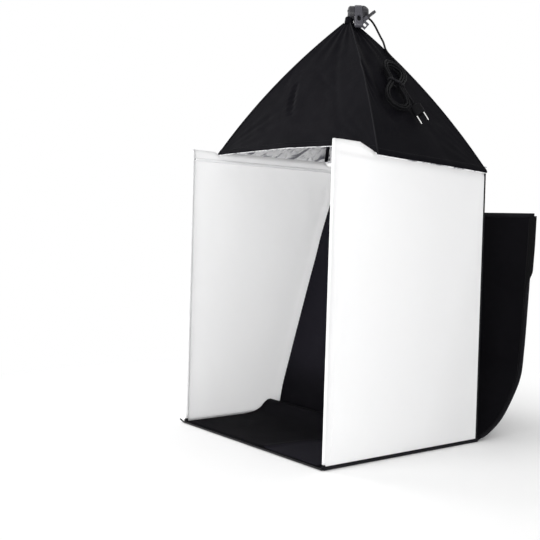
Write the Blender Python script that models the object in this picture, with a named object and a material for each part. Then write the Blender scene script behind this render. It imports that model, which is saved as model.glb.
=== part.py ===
"""Table-top light tent: white walls, a black floor, backdrop and back panel, and a pyramid hood.

Metres, +Z up. The origin is the centre of the floor panel's underside, and -Y is the open front.
A lamp head sits at the hood's tip, with its lead in a hank on the hood's right face.
"""

import math

import bmesh
import bpy
from mathutils import Matrix, Vector

for old_object in list(bpy.data.objects):
    bpy.data.objects.remove(old_object, do_unlink=True)

# Clearance between pieces that touch, and overrun of every cutter
touch_gap = 0.0003
overrun = 0.002

# Tent body
tent_width = 0.400
tent_depth = 0.355
floor_thickness = 0.003
wall_thickness = 0.0012
wing_height = 0.5075
wing_top_length = 0.0525
wing_top_fall = 0.002
front_edge_lean = 0.005
wall_tuck = 0.0053
wall_dip = 0.002
wall_dip_length = 0.012
hem_band_height = 0.0065
hem_band_thickness = 0.0006

# Frame rods
rod_radius = 0.002
sleeve_radius = 0.003
sleeve_bore_radius = 0.0023
foot_height = 0.005
foot_floor = 0.002
pole_tip_below_hem = 0.004
side_rail_below_hem = 0.0125
back_rail_height = 0.4625
front_rod_radius = 0.0015
front_rod_tip_length = 0.012
front_rod_hook_rise = 0.003

# Backdrop sweep
cloth_thickness = 0.0012
sweep_side_gap = 0.015
sweep_fold_depth = 0.0022
sweep_fold_count = 3
sweep_profile_shares = (
    (0.0, 1.0), (0.12, 0.707), (0.24, 0.414), (0.3455, 0.152), (0.372, 0.075), (0.383, 0.038),
    (0.400, 0.026), (0.428, 0.036), (0.462, 0.052), (0.497, 0.040), (0.528, 0.019), (0.580, 0.005),
    (0.66, 0.0), (0.80, 0.0), (1.0, 0.0),
)

# Back panel
panel_thickness = 0.0025
panel_hinge_gap = 0.0008
panel_reach = 0.1312
panel_height = 0.4003
panel_profile_shares = (
    (0.0, 0.006), (0.20, 0.028), (0.50, 0.094), (0.810, 0.240), (0.886, 0.385), (0.940, 0.612),
    (0.961, 0.740), (0.986, 0.860), (1.0, 1.0),
)
tab_overlap = 0.006
tab_stand_out = 0.0082
tab_thickness = 0.0015
tab_end_shares = (0.692, 0.998)
tab_taper_share = 0.28

# Hood
hood_half_width = 0.2055
front_left_setback = 0.068
front_right_setback = 0.090
back_left_setback = 0.020
back_right_setback = 0.0072
front_left_hem = 0.5005
front_right_hem = 0.4938
back_left_hem = 0.494
back_right_hem = 0.4728
hem_arch = 0.0091
hem_arch_end_shares = (0.95, 0.35)
hood_axis_back = 0.0285
tip_height = 0.7355
tip_radius = 0.0082
rib_bow = 0.0127
cover_thickness = 0.0008
lining_thickness = 0.0005
lining_top_share = 0.86
rib_sleeve_start_share = 0.044
rib_sleeve_below_hub_share = 0.004
rib_seat_share = 0.050
rib_end_shares = (0.0525, 0.938)

# Hub at the hood's tip
hub_radius = 0.018
hub_bore_radius = 0.0038
hub_thickness = 0.012
hub_chamfer = 0.004
hub_below_tip = 0.0195
hub_boss_radius = 0.0035
hub_boss_end_share = 0.945
hub_arm_radius = 0.003
hub_arm_start_share = 0.6
hub_socket_share = 0.941
nut_radius = 0.009
nut_height = 0.005
collar_radius = 0.0080
collar_height = 0.0020

# Lamp socket and bulb, hanging under the hub
stem_radius = 0.0032
stem_top_above_tip = 0.003
socket_radius = 0.019
socket_wall = 0.0025
socket_length = 0.0515
socket_roof = 0.0095
screw_shell_radius = 0.0145
screw_shell_wall = 0.0006
screw_shell_length = 0.034
contact_radius = 0.004
contact_height = 0.003
cap_radius = 0.0133
cap_thread_depth = 0.0006
cap_thread_count = 7
cap_length = 0.0335
bulb_neck_radius = 0.0125
bulb_radius = 0.030
bulb_length = 0.0800

# Tilt joint, in the lamp's own frame: X along the tilt axis, -Y towards the front right
lamp_turn_degrees = 52.8
tilt_above_tip = 0.0166
lug_radius = 0.013
lug_start = -0.002
lug_end = 0.008
lug_neck_radius = 0.0062
clamp_width = 0.0147
clamp_disc_radius = 0.0146
clamp_tongue_radius = 0.0055
clamp_tongue_length = 0.0340
clamp_tongue_degrees = 225.0
clamp_edge_round = 0.0025
slot_length = 0.0130
slot_width = 0.0064
slot_depth = 0.003
slot_along = 0.0250
eye_width = 0.0105
eye_height = 0.0120
eye_thickness = 0.0040
eye_window_width = 0.0058
eye_window_height = 0.0048
eye_turn_degrees = 40.0
eye_place = (0.0262, -0.0210, -0.0240)
bolt_radius = 0.003
bolt_bore_radius = 0.0033
bolt_seat_depth = 0.0035
knob_radius = 0.0145
knob_end_radius = 0.0080
knob_length = 0.0107
knob_flute_count = 12
knob_flute_share = 0.07
knob_bore_depth = 0.005
screw_radius = 0.0018
screw_bore_radius = 0.0021
screw_boss_radius = 0.0038
screw_boss_start = (0.0190, -0.0175, -0.0190)
screw_boss_length = 0.0150
screw_degrees = 38.0
screw_head_length = 0.0155
screw_head_width = 0.0120
screw_head_thickness = 0.0045
screw_head_turn_degrees = 90.0
screw_collar_radius = 0.0034
screw_collar_length = 0.0030

# Rocker switch in the lug's left face
rocker_length = 0.0105
rocker_width = 0.0064
rocker_depth = 0.0030
rocker_stand_out = 0.0010
rocker_clearance = 0.0006
rocker_pocket_depth = 0.0045
rocker_crown = 0.0008

# Cord outlet
outlet_radius = 0.0045
outlet_back = 0.0225
outlet_rise = 0.0100
outlet_start = 0.007
outlet_length = 0.0205
outlet_degrees = 25.0
relief_length = 0.0215
relief_start_radius = 0.0038
relief_end_radius = 0.0026
relief_ring_count = 5
relief_ring_depth = 0.0005

# Cord, hank and plug
cord_radius = 0.0018
hank_turns = 4
hank_points_per_turn = 24
hank_step = 0.0046
hank_start_share = 1.2
hank_end_share = 7.5
hank_upper_length = 0.0490
hank_lower_length = 0.0560
hank_upper_right = 0.0115
hank_upper_left = 0.0160
hank_lower_right = 0.0215
hank_lower_left = 0.0125
hank_waist_half = 0.0028
hank_turn_degrees = 27.0
hank_place_shares = (0.446, 0.479)
hank_outline_shares = (
    (-0.965, 0.54), (-0.85, 0.92), (-0.67, 1.0), (-0.46, 0.78), (-0.22, 0.24),
    (0.0, 0.0), (0.18, 0.19), (0.40, 0.70), (0.63, 1.0), (0.84, 0.87), (0.965, 0.48),
)
tie_thickness = 0.0008
tie_width = 0.005
tie_clearance = 0.0006
tie_turns = (2.15, 2.65)
plug_length = 0.0180
plug_half_width = 0.0095
plug_half_height = 0.0058
plug_neck_length = 0.0060
plug_neck_radius = 0.0032
plug_neck_shares = ((0.0, 0.0, 0.0), (0.3, 0.0, 0.0), (0.55, 0.42, 0.42), (0.8, 0.86, 0.86))
plug_turn_degrees = 55.0
blade_spacing = 0.0127
blade_length = 0.0159
blade_width = 0.0063
blade_thickness = 0.0015
blade_hole_radius = 0.0015
blade_hole_from_tip = 0.0040

# Facets round a turned piece
fine_sides = 24
rod_sides = 10
smooth_degrees = 40.0


def make_material(name, color, roughness, metallic=0.0, transmission=0.0):
    material = bpy.data.materials.new(name)
    material.use_nodes = True
    shader = material.node_tree.nodes["Principled BSDF"]
    shader.inputs["Base Color"].default_value = (*color, 1.0)
    shader.inputs["Roughness"].default_value = roughness
    shader.inputs["Metallic"].default_value = metallic
    shader.inputs["Transmission Weight"].default_value = transmission
    material.diffuse_color = (*color, 1.0)
    return material


black_cloth = make_material("black_cloth", (0.012, 0.012, 0.014), 0.85)
black_board = make_material("black_board", (0.015, 0.015, 0.016), 0.8)
white_cloth = make_material("white_cloth", (0.93, 0.93, 0.93), 0.75)
silver_cloth = make_material("silver_cloth", (0.78, 0.79, 0.82), 0.28, metallic=1.0)
rod_finish = make_material("rod_finish", (0.02, 0.02, 0.02), 0.4)
dark_plastic = make_material("dark_plastic", (0.045, 0.045, 0.05), 0.42)
grey_plastic = make_material("grey_plastic", (0.16, 0.16, 0.17), 0.38)
black_rubber = make_material("black_rubber", (0.015, 0.015, 0.015), 0.6)
steel = make_material("steel", (0.62, 0.62, 0.63), 0.3, metallic=1.0)
brass = make_material("brass", (0.80, 0.62, 0.28), 0.3, metallic=1.0)
bulb_glass_finish = make_material("bulb_glass_finish", (0.95, 0.95, 0.93), 0.25, transmission=0.2)


def link(thing, parent=None):
    bpy.context.scene.collection.objects.link(thing)
    thing.parent = parent
    return thing


def add_empty(name, place, turn=(0.0, 0.0, 0.0), parent=None):
    empty = bpy.data.objects.new(name, None)
    empty.location = place
    empty.rotation_euler = turn
    return link(empty, parent)


def add_solid(name, points, faces, material, parent=None, place=(0.0, 0.0, 0.0)):
    """Object with a closed mesh, faces turned outwards, smooth where it is round."""
    mesh = bpy.data.meshes.new(name)
    mesh.from_pydata([tuple(point) for point in points], [], faces)
    shape = bmesh.new()
    shape.from_mesh(mesh)
    bmesh.ops.remove_doubles(shape, verts=shape.verts, dist=touch_gap / 100)
    bmesh.ops.recalc_face_normals(shape, faces=shape.faces)
    shape.to_mesh(mesh)
    shape.free()
    mesh.materials.append(material)
    mesh.shade_smooth()
    mesh.set_sharp_from_angle(angle=math.radians(smooth_degrees))
    thing = bpy.data.objects.new(name, mesh)
    thing.location = place
    return link(thing, parent)


def shape_with(target, tool, operation="DIFFERENCE"):
    """Cut or join a hidden tool to the target."""
    tool.hide_render = True
    tool.display_type = "WIRE"
    step = target.modifiers.new(tool.name, "BOOLEAN")
    step.operation = operation
    step.object = tool


def round_edges(thing, width, segments=2):
    step = thing.modifiers.new("round_edges", "BEVEL")
    step.width = width
    step.segments = segments
    step.limit_method = "ANGLE"
    step.angle_limit = math.radians(smooth_degrees)


def grid_faces(rows, columns, start, closed_rows):
    """Quads of a grid of points stored row by row from the index start."""
    faces = []
    for row in range(rows - 1):
        for column in range(columns if closed_rows else columns - 1):
            after = (column + 1) % columns
            low = start + row * columns
            faces.append((low + column, low + after, low + columns + after, low + columns + column))
    return faces


def sheet_between(front, back, closed_rows=False):
    """Points and faces of the closed sheet between two equal grids of points."""
    rows, columns = len(front), len(front[0])
    points = [point for row in front for point in row] + [point for row in back for point in row]
    size = rows * columns
    faces = grid_faces(rows, columns, 0, closed_rows)
    faces += grid_faces(rows, columns, size, closed_rows)
    edges = []
    for row in (0, rows - 1):
        last = columns if closed_rows else columns - 1
        edges += [(row * columns + c, row * columns + (c + 1) % columns) for c in range(last)]
    if not closed_rows:
        for column in (0, columns - 1):
            edges += [(r * columns + column, (r + 1) * columns + column) for r in range(rows - 1)]
    faces += [(a, b, b + size, a + size) for a, b in edges]
    return points, faces


def prism(outline, start, end):
    """Points and faces of an outline in Y and Z drawn along X from start to end."""
    count = len(outline)
    points = [(x, y, z) for x in (start, end) for y, z in outline]
    faces = [tuple(range(count)), tuple(range(count, 2 * count))]
    faces += [(i, (i + 1) % count, count + (i + 1) % count, count + i) for i in range(count)]
    return points, faces


def block(low, high):
    outline = ((low[1], low[2]), (high[1], low[2]), (high[1], high[2]), (low[1], high[2]))
    return prism(outline, low[0], high[0])


def lathe(profile, sides, closed=False, flute_count=0, flute_share=0.0):
    """Points and faces of a profile of (radius, height) turned about Z."""
    points, rings, faces = [], [], []
    for radius, height in profile:
        ring = []
        for side in range(1 if radius == 0 else sides):
            angle = math.tau * side / sides
            reach = radius * (1.0 - flute_share * (0.5 - 0.5 * math.cos(flute_count * angle)))
            ring.append(len(points))
            points.append((reach * math.cos(angle), reach * math.sin(angle), height))
        rings.append(ring)
    pairs = list(zip(rings, rings[1:] + rings[:1])) if closed else list(zip(rings, rings[1:]))
    for ring, following in pairs:
        for side in range(sides):
            after = (side + 1) % sides
            corners = [ring[side % len(ring)], ring[after % len(ring)],
                       following[after % len(following)], following[side % len(following)]]
            face = tuple(dict.fromkeys(corners))
            if len(face) > 2:
                faces.append(face)
    return points, faces


def moved(solid, matrix):
    points, faces = solid
    return [matrix @ Vector(point) for point in points], faces


def along(direction, place=(0.0, 0.0, 0.0)):
    """Matrix that turns Z to a direction and moves the origin to a place."""
    turn = Vector(direction).to_track_quat("Z", "Y").to_matrix().to_4x4()
    return Matrix.Translation(place) @ turn


def blend(a, b, share):
    return a + (b - a) * share


def smooth_curve(controls, count):
    """Points at even spacing on a smooth curve through the controls."""
    controls = [Vector(control) for control in controls]
    ends = [controls[0] * 2 - controls[1]] + controls + [controls[-1] * 2 - controls[-2]]
    dense = []
    for before, a, b, after in zip(ends, ends[1:], ends[2:], ends[3:]):
        for step in range(24):
            s = step / 24
            dense.append(0.5 * (2 * a + (b - before) * s + (2 * before - 5 * a + 4 * b - after) * s**2
                                + (3 * a - before - 3 * b + after) * s**3))
    dense.append(controls[-1])
    reach = [0.0]
    for a, b in zip(dense, dense[1:]):
        reach.append(reach[-1] + (b - a).length)
    points, low = [], 0
    for index in range(count):
        target = reach[-1] * index / (count - 1)
        while low < len(reach) - 2 and reach[low + 1] < target:
            low += 1
        span = reach[low + 1] - reach[low]
        points.append(blend(dense[low], dense[low + 1], (target - reach[low]) / span))
    return points


def path_length(points):
    return sum((b - a).length for a, b in zip(points, points[1:]))


def add_tube(name, points, radius, material, resolution=2):
    """Round rod or cord along a list of points, with flat ends."""
    curve = bpy.data.curves.new(name, "CURVE")
    curve.dimensions = "3D"
    curve.bevel_depth = radius
    curve.bevel_resolution = resolution
    curve.use_fill_caps = True
    spline = curve.splines.new("POLY")
    spline.points.add(len(points) - 1)
    for point, place in zip(spline.points, points):
        point.co = (*place, 1.0)
    curve.materials.append(material)
    return link(bpy.data.objects.new(name, curve))


def add_pipe(name, points, radius, bore_radius, material, closed_start=False):
    """Sleeve along a path, open at its end and, unless told otherwise, at its start."""
    tangents = []
    for index in range(len(points)):
        low, high = max(index - 1, 0), min(index + 1, len(points) - 1)
        tangents.append((points[high] - points[low]).normalized())
    side = tangents[0].cross(Vector((0.0, 0.3, 1.0))).normalized()
    outer, inner = [], []
    for point, tangent in zip(points, tangents):
        side = (side - tangent * side.dot(tangent)).normalized()
        other = tangent.cross(side)
        rim = [side * math.cos(math.tau * i / rod_sides) + other * math.sin(math.tau * i / rod_sides)
               for i in range(rod_sides)]
        outer.append([point + offset * radius for offset in rim])
        inner.append([point + offset * bore_radius for offset in rim])
    if not closed_start:
        solid = sheet_between(outer, inner, closed_rows=True)
        return add_solid(name, *solid, material)
    rings = outer + inner[:0:-1]
    points_list = [point for ring in rings for point in ring]
    faces = grid_faces(len(rings), rod_sides, 0, True)
    faces.append(tuple(range(rod_sides)))
    faces.append(tuple(range(len(points_list) - rod_sides, len(points_list))))
    return add_solid(name, points_list, faces, material)


def straight(start, end, count=2):
    return [blend(Vector(start), Vector(end), index / (count - 1)) for index in range(count)]


# Places that several pieces share
front = -tent_depth / 2
back = tent_depth / 2
side_x = tent_width / 2
pole_x = side_x - sleeve_radius
pole_foot_z = floor_thickness + touch_gap
sleeve_foot_z = pole_foot_z + foot_height + touch_gap
front_pole_y = front + sleeve_radius
back_pole_y = back - sleeve_radius
wall_front_y = front_pole_y + sleeve_radius + touch_gap
wall_back_y = back_pole_y - sleeve_radius - touch_gap
rail_x = side_x - wall_thickness - touch_gap - rod_radius

hood_corners = {
    "front_left": Vector((-hood_half_width, front + front_left_setback, front_left_hem)),
    "front_right": Vector((hood_half_width, front + front_right_setback, front_right_hem)),
    "back_right": Vector((hood_half_width, back - back_right_setback, back_right_hem)),
    "back_left": Vector((-hood_half_width, back - back_left_setback, back_left_hem)),
}
corner_order = ("front_left", "front_right", "back_right", "back_left")
tip_centre = Vector((0.0, hood_axis_back, tip_height))


def tip_point(corner):
    away = hood_corners[corner] - tip_centre
    away.z = 0.0
    return tip_centre + away.normalized() * tip_radius


def face_normal(first, second):
    """Outward normal of the flat face between two corners."""
    base = hood_corners[second] - hood_corners[first]
    normal = base.cross(tip_centre - hood_corners[first]).normalized()
    return normal if normal.z > 0 else -normal


def ridge_frame(corner):
    """Foot, tip, bow direction and inward step per unit of depth under both faces."""
    place = corner_order.index(corner)
    before, after = corner_order[place - 1], corner_order[(place + 1) % len(corner_order)]
    one, other = face_normal(before, corner), face_normal(corner, after)
    foot, tip = hood_corners[corner], tip_point(corner)
    chord = (tip - foot).normalized()
    rise = Vector((0.0, 0.0, 1.0))
    bow = (rise - chord * chord.z).normalized()
    return foot, tip, bow, (one + other) / (1 + one.dot(other))


ridge_frames = {corner: ridge_frame(corner) for corner in corner_order}


def ridge_point(corner, depth, share):
    foot, tip, bow, inward = ridge_frames[corner]
    return blend(foot, tip, share) + bow * (rib_bow * 4 * share * (1 - share)) - inward * depth


def face_point(first, second, depth, across, up):
    """Point of a hood face, from one ridge to the next and from the hem's line to the tip."""
    return blend(ridge_point(first, depth, up), ridge_point(second, depth, up), across)


def arch_rise(across):
    """Rise of an arched hem, from 0 at its ends to 1 where it is highest."""
    near, far = hem_arch_end_shares
    peak = near / (near + far)
    return (across / peak)**near * ((1 - across) / (1 - peak))**far


def face_rows(first, second, depth, top_share, rows, columns, arched, edge_gap):
    """Grid of a hood face, with its hem drawn up where the face is arched."""
    hem_z = (hood_corners[first].z + hood_corners[second].z) / 2
    arch_share = hem_arch / (tip_height - hem_z) if arched else 0.0
    grid = []
    for row in range(rows + 1):
        line = []
        for column in range(columns + 1):
            across = column / columns
            hem_share = arch_share * arch_rise(across)
            up = blend(hem_share, top_share, row / rows)
            start, end = ridge_point(first, depth, up), ridge_point(second, depth, up)
            step = (end - start).normalized() * edge_gap
            line.append(blend(start + step, end - step, across))
        grid.append(line)
    return grid


def hem_height(side, y):
    """Height of the hood's side hem at a depth, carried on past its corners."""
    near, far = hood_corners["front_" + side], hood_corners["back_" + side]
    return blend(near.z, far.z, (y - near.y) / (far.y - near.y))


def add_floor():
    half = side_x - wall_thickness - touch_gap
    floor = block((-half, front, 0.0), (half, back, floor_thickness))
    add_solid("floor_panel", *floor, black_board)
    rod_y = front - touch_gap - front_rod_radius
    low = front_rod_radius + touch_gap
    left = -side_x - front_rod_tip_length
    controls = [(half, rod_y, low), (0.0, rod_y, low), (-side_x, rod_y, low),
                (left, rod_y, low + front_rod_hook_rise)]
    add_tube("floor_front_rod", [Vector(c) for c in controls], front_rod_radius, rod_finish)


def wall_outline(side):
    near, far = hood_corners["front_" + side], hood_corners["back_" + side]
    lean = front_edge_lean
    wing_end = front + lean + wing_top_length
    past_near = near.y + wall_dip_length
    before_far = far.y - wall_dip_length
    return [
        (wall_front_y, 0.0),
        (wall_back_y, 0.0),
        (wall_back_y, hem_height(side, far.y) - wall_dip),
        (far.y, hem_height(side, far.y) - wall_dip),
        (before_far, hem_height(side, before_far) + wall_tuck),
        (past_near, hem_height(side, past_near) + wall_tuck),
        (near.y, hem_height(side, near.y) - wall_dip),
        (wing_end, wing_height - wing_top_fall),
        (wall_front_y + lean, wing_height),
    ]


def add_wall(side, sign):
    wall = prism(wall_outline(side), sign * (side_x - wall_thickness), sign * side_x)
    add_solid(side + "_wall", *wall, white_cloth)
    inner = sign * (side_x + touch_gap)
    outer = inner + sign * hem_band_thickness
    band = prism([(front, 0.0), (back, 0.0), (back, hem_band_height), (front, hem_band_height)],
                 min(inner, outer), max(inner, outer))
    add_solid(side + "_wall_hem_band", *band, black_cloth)


def add_pole(place, side, sign):
    """Corner pole with its foot and its sleeve."""
    is_front = place == "front"
    y = front_pole_y if is_front else back_pole_y
    lean = front_edge_lean if is_front else 0.0
    hem = hood_corners["back_" + side].z
    top = wing_height if is_front else hem - pole_tip_below_hem
    name = place + "_" + side
    x = sign * pole_x
    foot_top = pole_foot_z + foot_height
    foot = [(0.0, pole_foot_z), (sleeve_radius, pole_foot_z), (sleeve_radius, foot_top),
            (sleeve_bore_radius, foot_top), (sleeve_bore_radius, pole_foot_z + foot_floor),
            (0.0, pole_foot_z + foot_floor)]
    foot_solid = moved(lathe(foot, rod_sides), Matrix.Translation((x, y, 0.0)))
    add_solid(name + "_pole_foot", *foot_solid, black_rubber)

    def at(height):
        return Vector((x, y + lean * height / wing_height, height))

    pole_low = pole_foot_z + foot_floor + touch_gap
    add_tube(name + "_pole", [at(pole_low), at(top)], rod_radius, rod_finish)
    sleeve_finish = white_cloth if is_front else black_cloth
    sleeve_path = [at(sleeve_foot_z), at(top - touch_gap)]
    add_pipe(name + "_pole_sleeve", sleeve_path, sleeve_radius, sleeve_bore_radius, sleeve_finish)


def add_side_rail(side, sign):
    lean = front_edge_lean
    ends = [wall_front_y + lean + touch_gap, wall_back_y - touch_gap]
    path = [Vector((sign * rail_x, y, hem_height(side, y) - side_rail_below_hem)) for y in ends]
    add_tube(side + "_side_rail", path, rod_radius, rod_finish)


def add_back_rail():
    reach = pole_x - sleeve_radius - touch_gap
    path = straight((-reach, back_pole_y, back_rail_height), (reach, back_pole_y, back_rail_height))
    add_tube("back_rail", path, rod_radius, rod_finish)


def normals_2d(points, flip):
    """Unit normals of a curve in Y and Z."""
    normals = []
    for index in range(len(points)):
        low, high = max(index - 1, 0), min(index + 1, len(points) - 1)
        step = points[high] - points[low]
        normals.append(Vector((0.0, -step.z, step.y)).normalized() * flip)
    return normals


def sweep_curve():
    """Upper face of the backdrop, from the rail at the back to the floor's front edge."""
    top_y = back_pole_y - rod_radius - touch_gap - cloth_thickness
    rest_z = floor_thickness + touch_gap + cloth_thickness
    drop = back_rail_height - rest_z
    run = top_y - front
    controls = [(0.0, top_y - run * along_share, rest_z + drop * up_share)
                for along_share, up_share in sweep_profile_shares]
    return smooth_curve(controls, 40)


def add_sweep():
    curve = sweep_curve()
    normals = normals_2d(curve, -1.0)
    columns = 14
    upper, lower = [], []
    for row, (point, normal) in enumerate(zip(curve, normals)):
        share = row / (len(curve) - 1)
        on_slope = min(1.0, max(0.0, 3.0 * share)) * min(1.0, max(0.0, 4.0 * (0.62 - share)))
        top_line, low_line = [], []
        for column in range(columns + 1):
            across = column / columns
            wave = 0.5 + 0.5 * math.sin(math.tau * (sweep_fold_count * across + 0.6 * share))
            lift = sweep_fold_depth * on_slope * wave
            x = (tent_width - 2 * sweep_side_gap) * (across - 0.5)
            top = point + normal * lift
            top_line.append(Vector((x, top.y, top.z)))
            low = point + normal * (lift - cloth_thickness)
            low_line.append(Vector((x, low.y, low.z)))
        upper.append(top_line)
        lower.append(low_line)
    add_solid("backdrop_sweep", *sheet_between(upper, lower), black_cloth)


def panel_curve(count):
    """Inner face of the back panel, from its hinge to its top, measured from the hinge."""
    controls = [(0.0, panel_reach * reach, panel_height * rise) for reach, rise in panel_profile_shares]
    return smooth_curve(controls, count)


hinge_place = Vector((0.0, back + panel_hinge_gap, panel_thickness))


def add_panel_sheet(name, low_x, high_x, curve, depth, thickness, columns, material, taper=0.0):
    """Strip of the back panel's curve between two depths behind its inner face."""
    normals = normals_2d(curve, 1.0)
    inner, outer = [], []
    for row, (point, normal) in enumerate(zip(curve, normals)):
        share = min(1.0, row / (len(curve) - 1) / taper) if taper else 1.0
        end_x = low_x + (high_x - low_x) * share
        near, far = point - normal * depth, point - normal * (depth + thickness)
        line = [low_x + (end_x - low_x) * column / columns for column in range(columns + 1)]
        inner.append([Vector((x, near.y, near.z)) for x in line])
        outer.append([Vector((x, far.y, far.z)) for x in line])
    return add_solid(name, *sheet_between(inner, outer), material, place=hinge_place)


def add_back_panel():
    curve = panel_curve(25)
    add_panel_sheet("back_panel", -side_x, side_x, curve, 0.0, panel_thickness, 8, black_cloth)
    fine = panel_curve(101)
    first, last = [round(share * 100) for share in tab_end_shares]
    tab_curve = fine[first:last:3]
    depth = -tab_thickness - touch_gap
    for side, sign in (("left", -1.0), ("right", 1.0)):
        inner_x = sign * (side_x - tab_overlap)
        outer_x = sign * (side_x + tab_stand_out)
        add_panel_sheet("back_panel_tab_" + side, inner_x, outer_x, tab_curve, depth, tab_thickness, 1,
                        black_cloth, tab_taper_share)


def add_hood_cover():
    pairs = list(zip(corner_order, corner_order[1:] + corner_order[:1]))
    for name, (first, second) in zip(("front", "right", "back", "left"), pairs):
        arched = name in ("front", "back")
        outer = face_rows(first, second, 0.0, 1.0, 12, 10, arched, touch_gap)
        inner = face_rows(first, second, cover_thickness, 1.0, 12, 10, arched, touch_gap)
        add_solid("hood_" + name, *sheet_between(outer, inner), black_cloth)


def add_lining():
    """Silver inner layer, one sewn piece with all four faces."""
    pairs = list(zip(corner_order, corner_order[1:] + corner_order[:1]))
    near = cover_thickness + touch_gap
    grids = []
    for depth in (near, near + lining_thickness):
        rows = [[] for _ in range(9)]
        for index, (first, second) in enumerate(pairs):
            face = face_rows(first, second, depth, lining_top_share, 8, 8, index % 2 == 0, 0.0)
            for row, line in zip(rows, face):
                row.extend(line[:-1])
        grids.append(rows)
    add_solid("hood_lining", *sheet_between(*grids, closed_rows=True), silver_cloth)


rib_depth = cover_thickness + lining_thickness + 3 * touch_gap + sleeve_radius


def rib_path(corner, low, high, count):
    return [ridge_point(corner, rib_depth, blend(low, high, i / (count - 1))) for i in range(count)]


def rib_share_at(corner, height):
    """Share of the way up a rib at which its centre reaches a height."""
    low, high = 0.0, 1.0
    while high - low > touch_gap:
        middle = (low + high) / 2
        if ridge_point(corner, rib_depth, middle).z < height:
            low = middle
        else:
            high = middle
    return low


def add_rib(corner):
    rib = rib_path(corner, *rib_end_shares, 18)
    add_tube(corner + "_rib", rib, rod_radius, rod_finish)
    hub_low = tip_height - hub_below_tip - hub_thickness
    high = rib_share_at(corner, hub_low) - rib_sleeve_below_hub_share
    sleeve = [ridge_point(corner, rib_depth, rib_sleeve_start_share)]
    sleeve += rib_path(corner, rib_seat_share, high, 14)
    add_pipe(corner + "_rib_sleeve", sleeve, sleeve_radius, sleeve_bore_radius, black_cloth, True)


def add_hub():
    """Disc with a bore for the lamp's stem and four bosses for the ribs."""
    top = tip_height - hub_below_tip
    ring = [(hub_bore_radius, top), (hub_radius - hub_chamfer, top), (hub_radius, top - hub_chamfer),
            (hub_radius, top - hub_thickness), (hub_bore_radius, top - hub_thickness)]
    centre = Matrix.Translation((0.0, hood_axis_back, 0.0))
    hub = add_solid("rib_hub", *moved(lathe(ring, fine_sides, closed=True), centre), dark_plastic)
    seats = {}
    for corner in corner_order:
        seats[corner] = ridge_point(corner, rib_depth, rib_share_at(corner, top - hub_thickness))
        low, high = seats[corner], ridge_point(corner, rib_depth, hub_boss_end_share)
        direction = low - high
        boss = [(0.0, 0.0), (hub_boss_radius, 0.0), (hub_boss_radius, direction.length),
                (0.0, direction.length)]
        boss_solid = moved(lathe(boss, rod_sides), along(direction, high))
        tool = add_solid("boss_" + corner, *boss_solid, dark_plastic)
        shape_with(hub, tool, "UNION")
        middle = Vector((0.0, hood_axis_back, top - hub_thickness / 2))
        end = ridge_point(corner, rib_depth, rib_share_at(corner, middle.z))
        end -= (end - middle).normalized() * hub_arm_radius
        start = middle + (end - middle).normalized() * (hub_radius * hub_arm_start_share)
        arm = rod_solid(start, end, hub_arm_radius, 12)
        shape_with(hub, add_solid("arm_" + corner, *arm, dark_plastic), "UNION")
    for corner in corner_order:
        low, high = seats[corner], ridge_point(corner, rib_depth, hub_socket_share)
        direction = low - high
        reach = direction.length + overrun
        bore = [(0.0, 0.0), (sleeve_bore_radius, 0.0), (sleeve_bore_radius, reach), (0.0, reach)]
        tool = add_solid("bore_" + corner, *moved(lathe(bore, fine_sides), along(direction, high)), steel)
        shape_with(hub, tool)


lamp_axis = add_empty("lamp_axis", (0.0, hood_axis_back, 0.0), (0.0, 0.0, math.radians(lamp_turn_degrees)))
hub_top = tip_height - hub_below_tip
socket_top = hub_top - hub_thickness - touch_gap
socket_foot = socket_top - socket_length
cavity_top = socket_top - socket_roof


def add_socket():
    """Lamp socket under the hub, with the hollow stem that passes through it."""
    stem_top = tip_height + stem_top_above_tip
    bore = socket_radius - socket_wall
    housing = [(0.0, stem_top), (stem_radius, stem_top), (stem_radius, socket_top),
               (socket_radius, socket_top), (socket_radius, socket_foot), (bore, socket_foot),
               (bore, cavity_top), (0.0, cavity_top)]
    add_solid("socket_housing", *lathe(housing, fine_sides), dark_plastic, lamp_axis)
    nut_low = hub_top + touch_gap
    nut_sides = 6
    nut_bore = (stem_radius + touch_gap) / math.cos(math.pi / nut_sides)
    nut = [(nut_bore, nut_low), (nut_radius, nut_low), (nut_radius, nut_low + nut_height),
           (nut_bore, nut_low + nut_height)]
    add_solid("hub_nut", *lathe(nut, nut_sides, closed=True), dark_plastic, lamp_axis)
    collar_low = tip_height + touch_gap
    collar_top = collar_low + collar_height
    collar_bore = stem_radius + 2 * touch_gap
    collar = [(collar_bore, collar_low), (collar_radius, collar_low), (collar_radius, collar_top),
              (collar_bore, collar_top)]
    add_solid("tip_collar", *lathe(collar, fine_sides, closed=True), black_rubber, lamp_axis)
    shell_top = cavity_top - touch_gap
    shell_low = shell_top - screw_shell_length
    inner = screw_shell_radius - screw_shell_wall
    shell = [(inner, shell_low), (screw_shell_radius, shell_low), (screw_shell_radius, shell_top),
             (inner, shell_top)]
    add_solid("screw_shell", *lathe(shell, fine_sides, closed=True), brass, lamp_axis)
    contact_low = shell_top - contact_height
    contact = [(0.0, shell_top), (contact_radius, shell_top), (contact_radius, contact_low),
               (0.0, contact_low)]
    add_solid("centre_contact", *lathe(contact, rod_sides), brass, lamp_axis)


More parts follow.
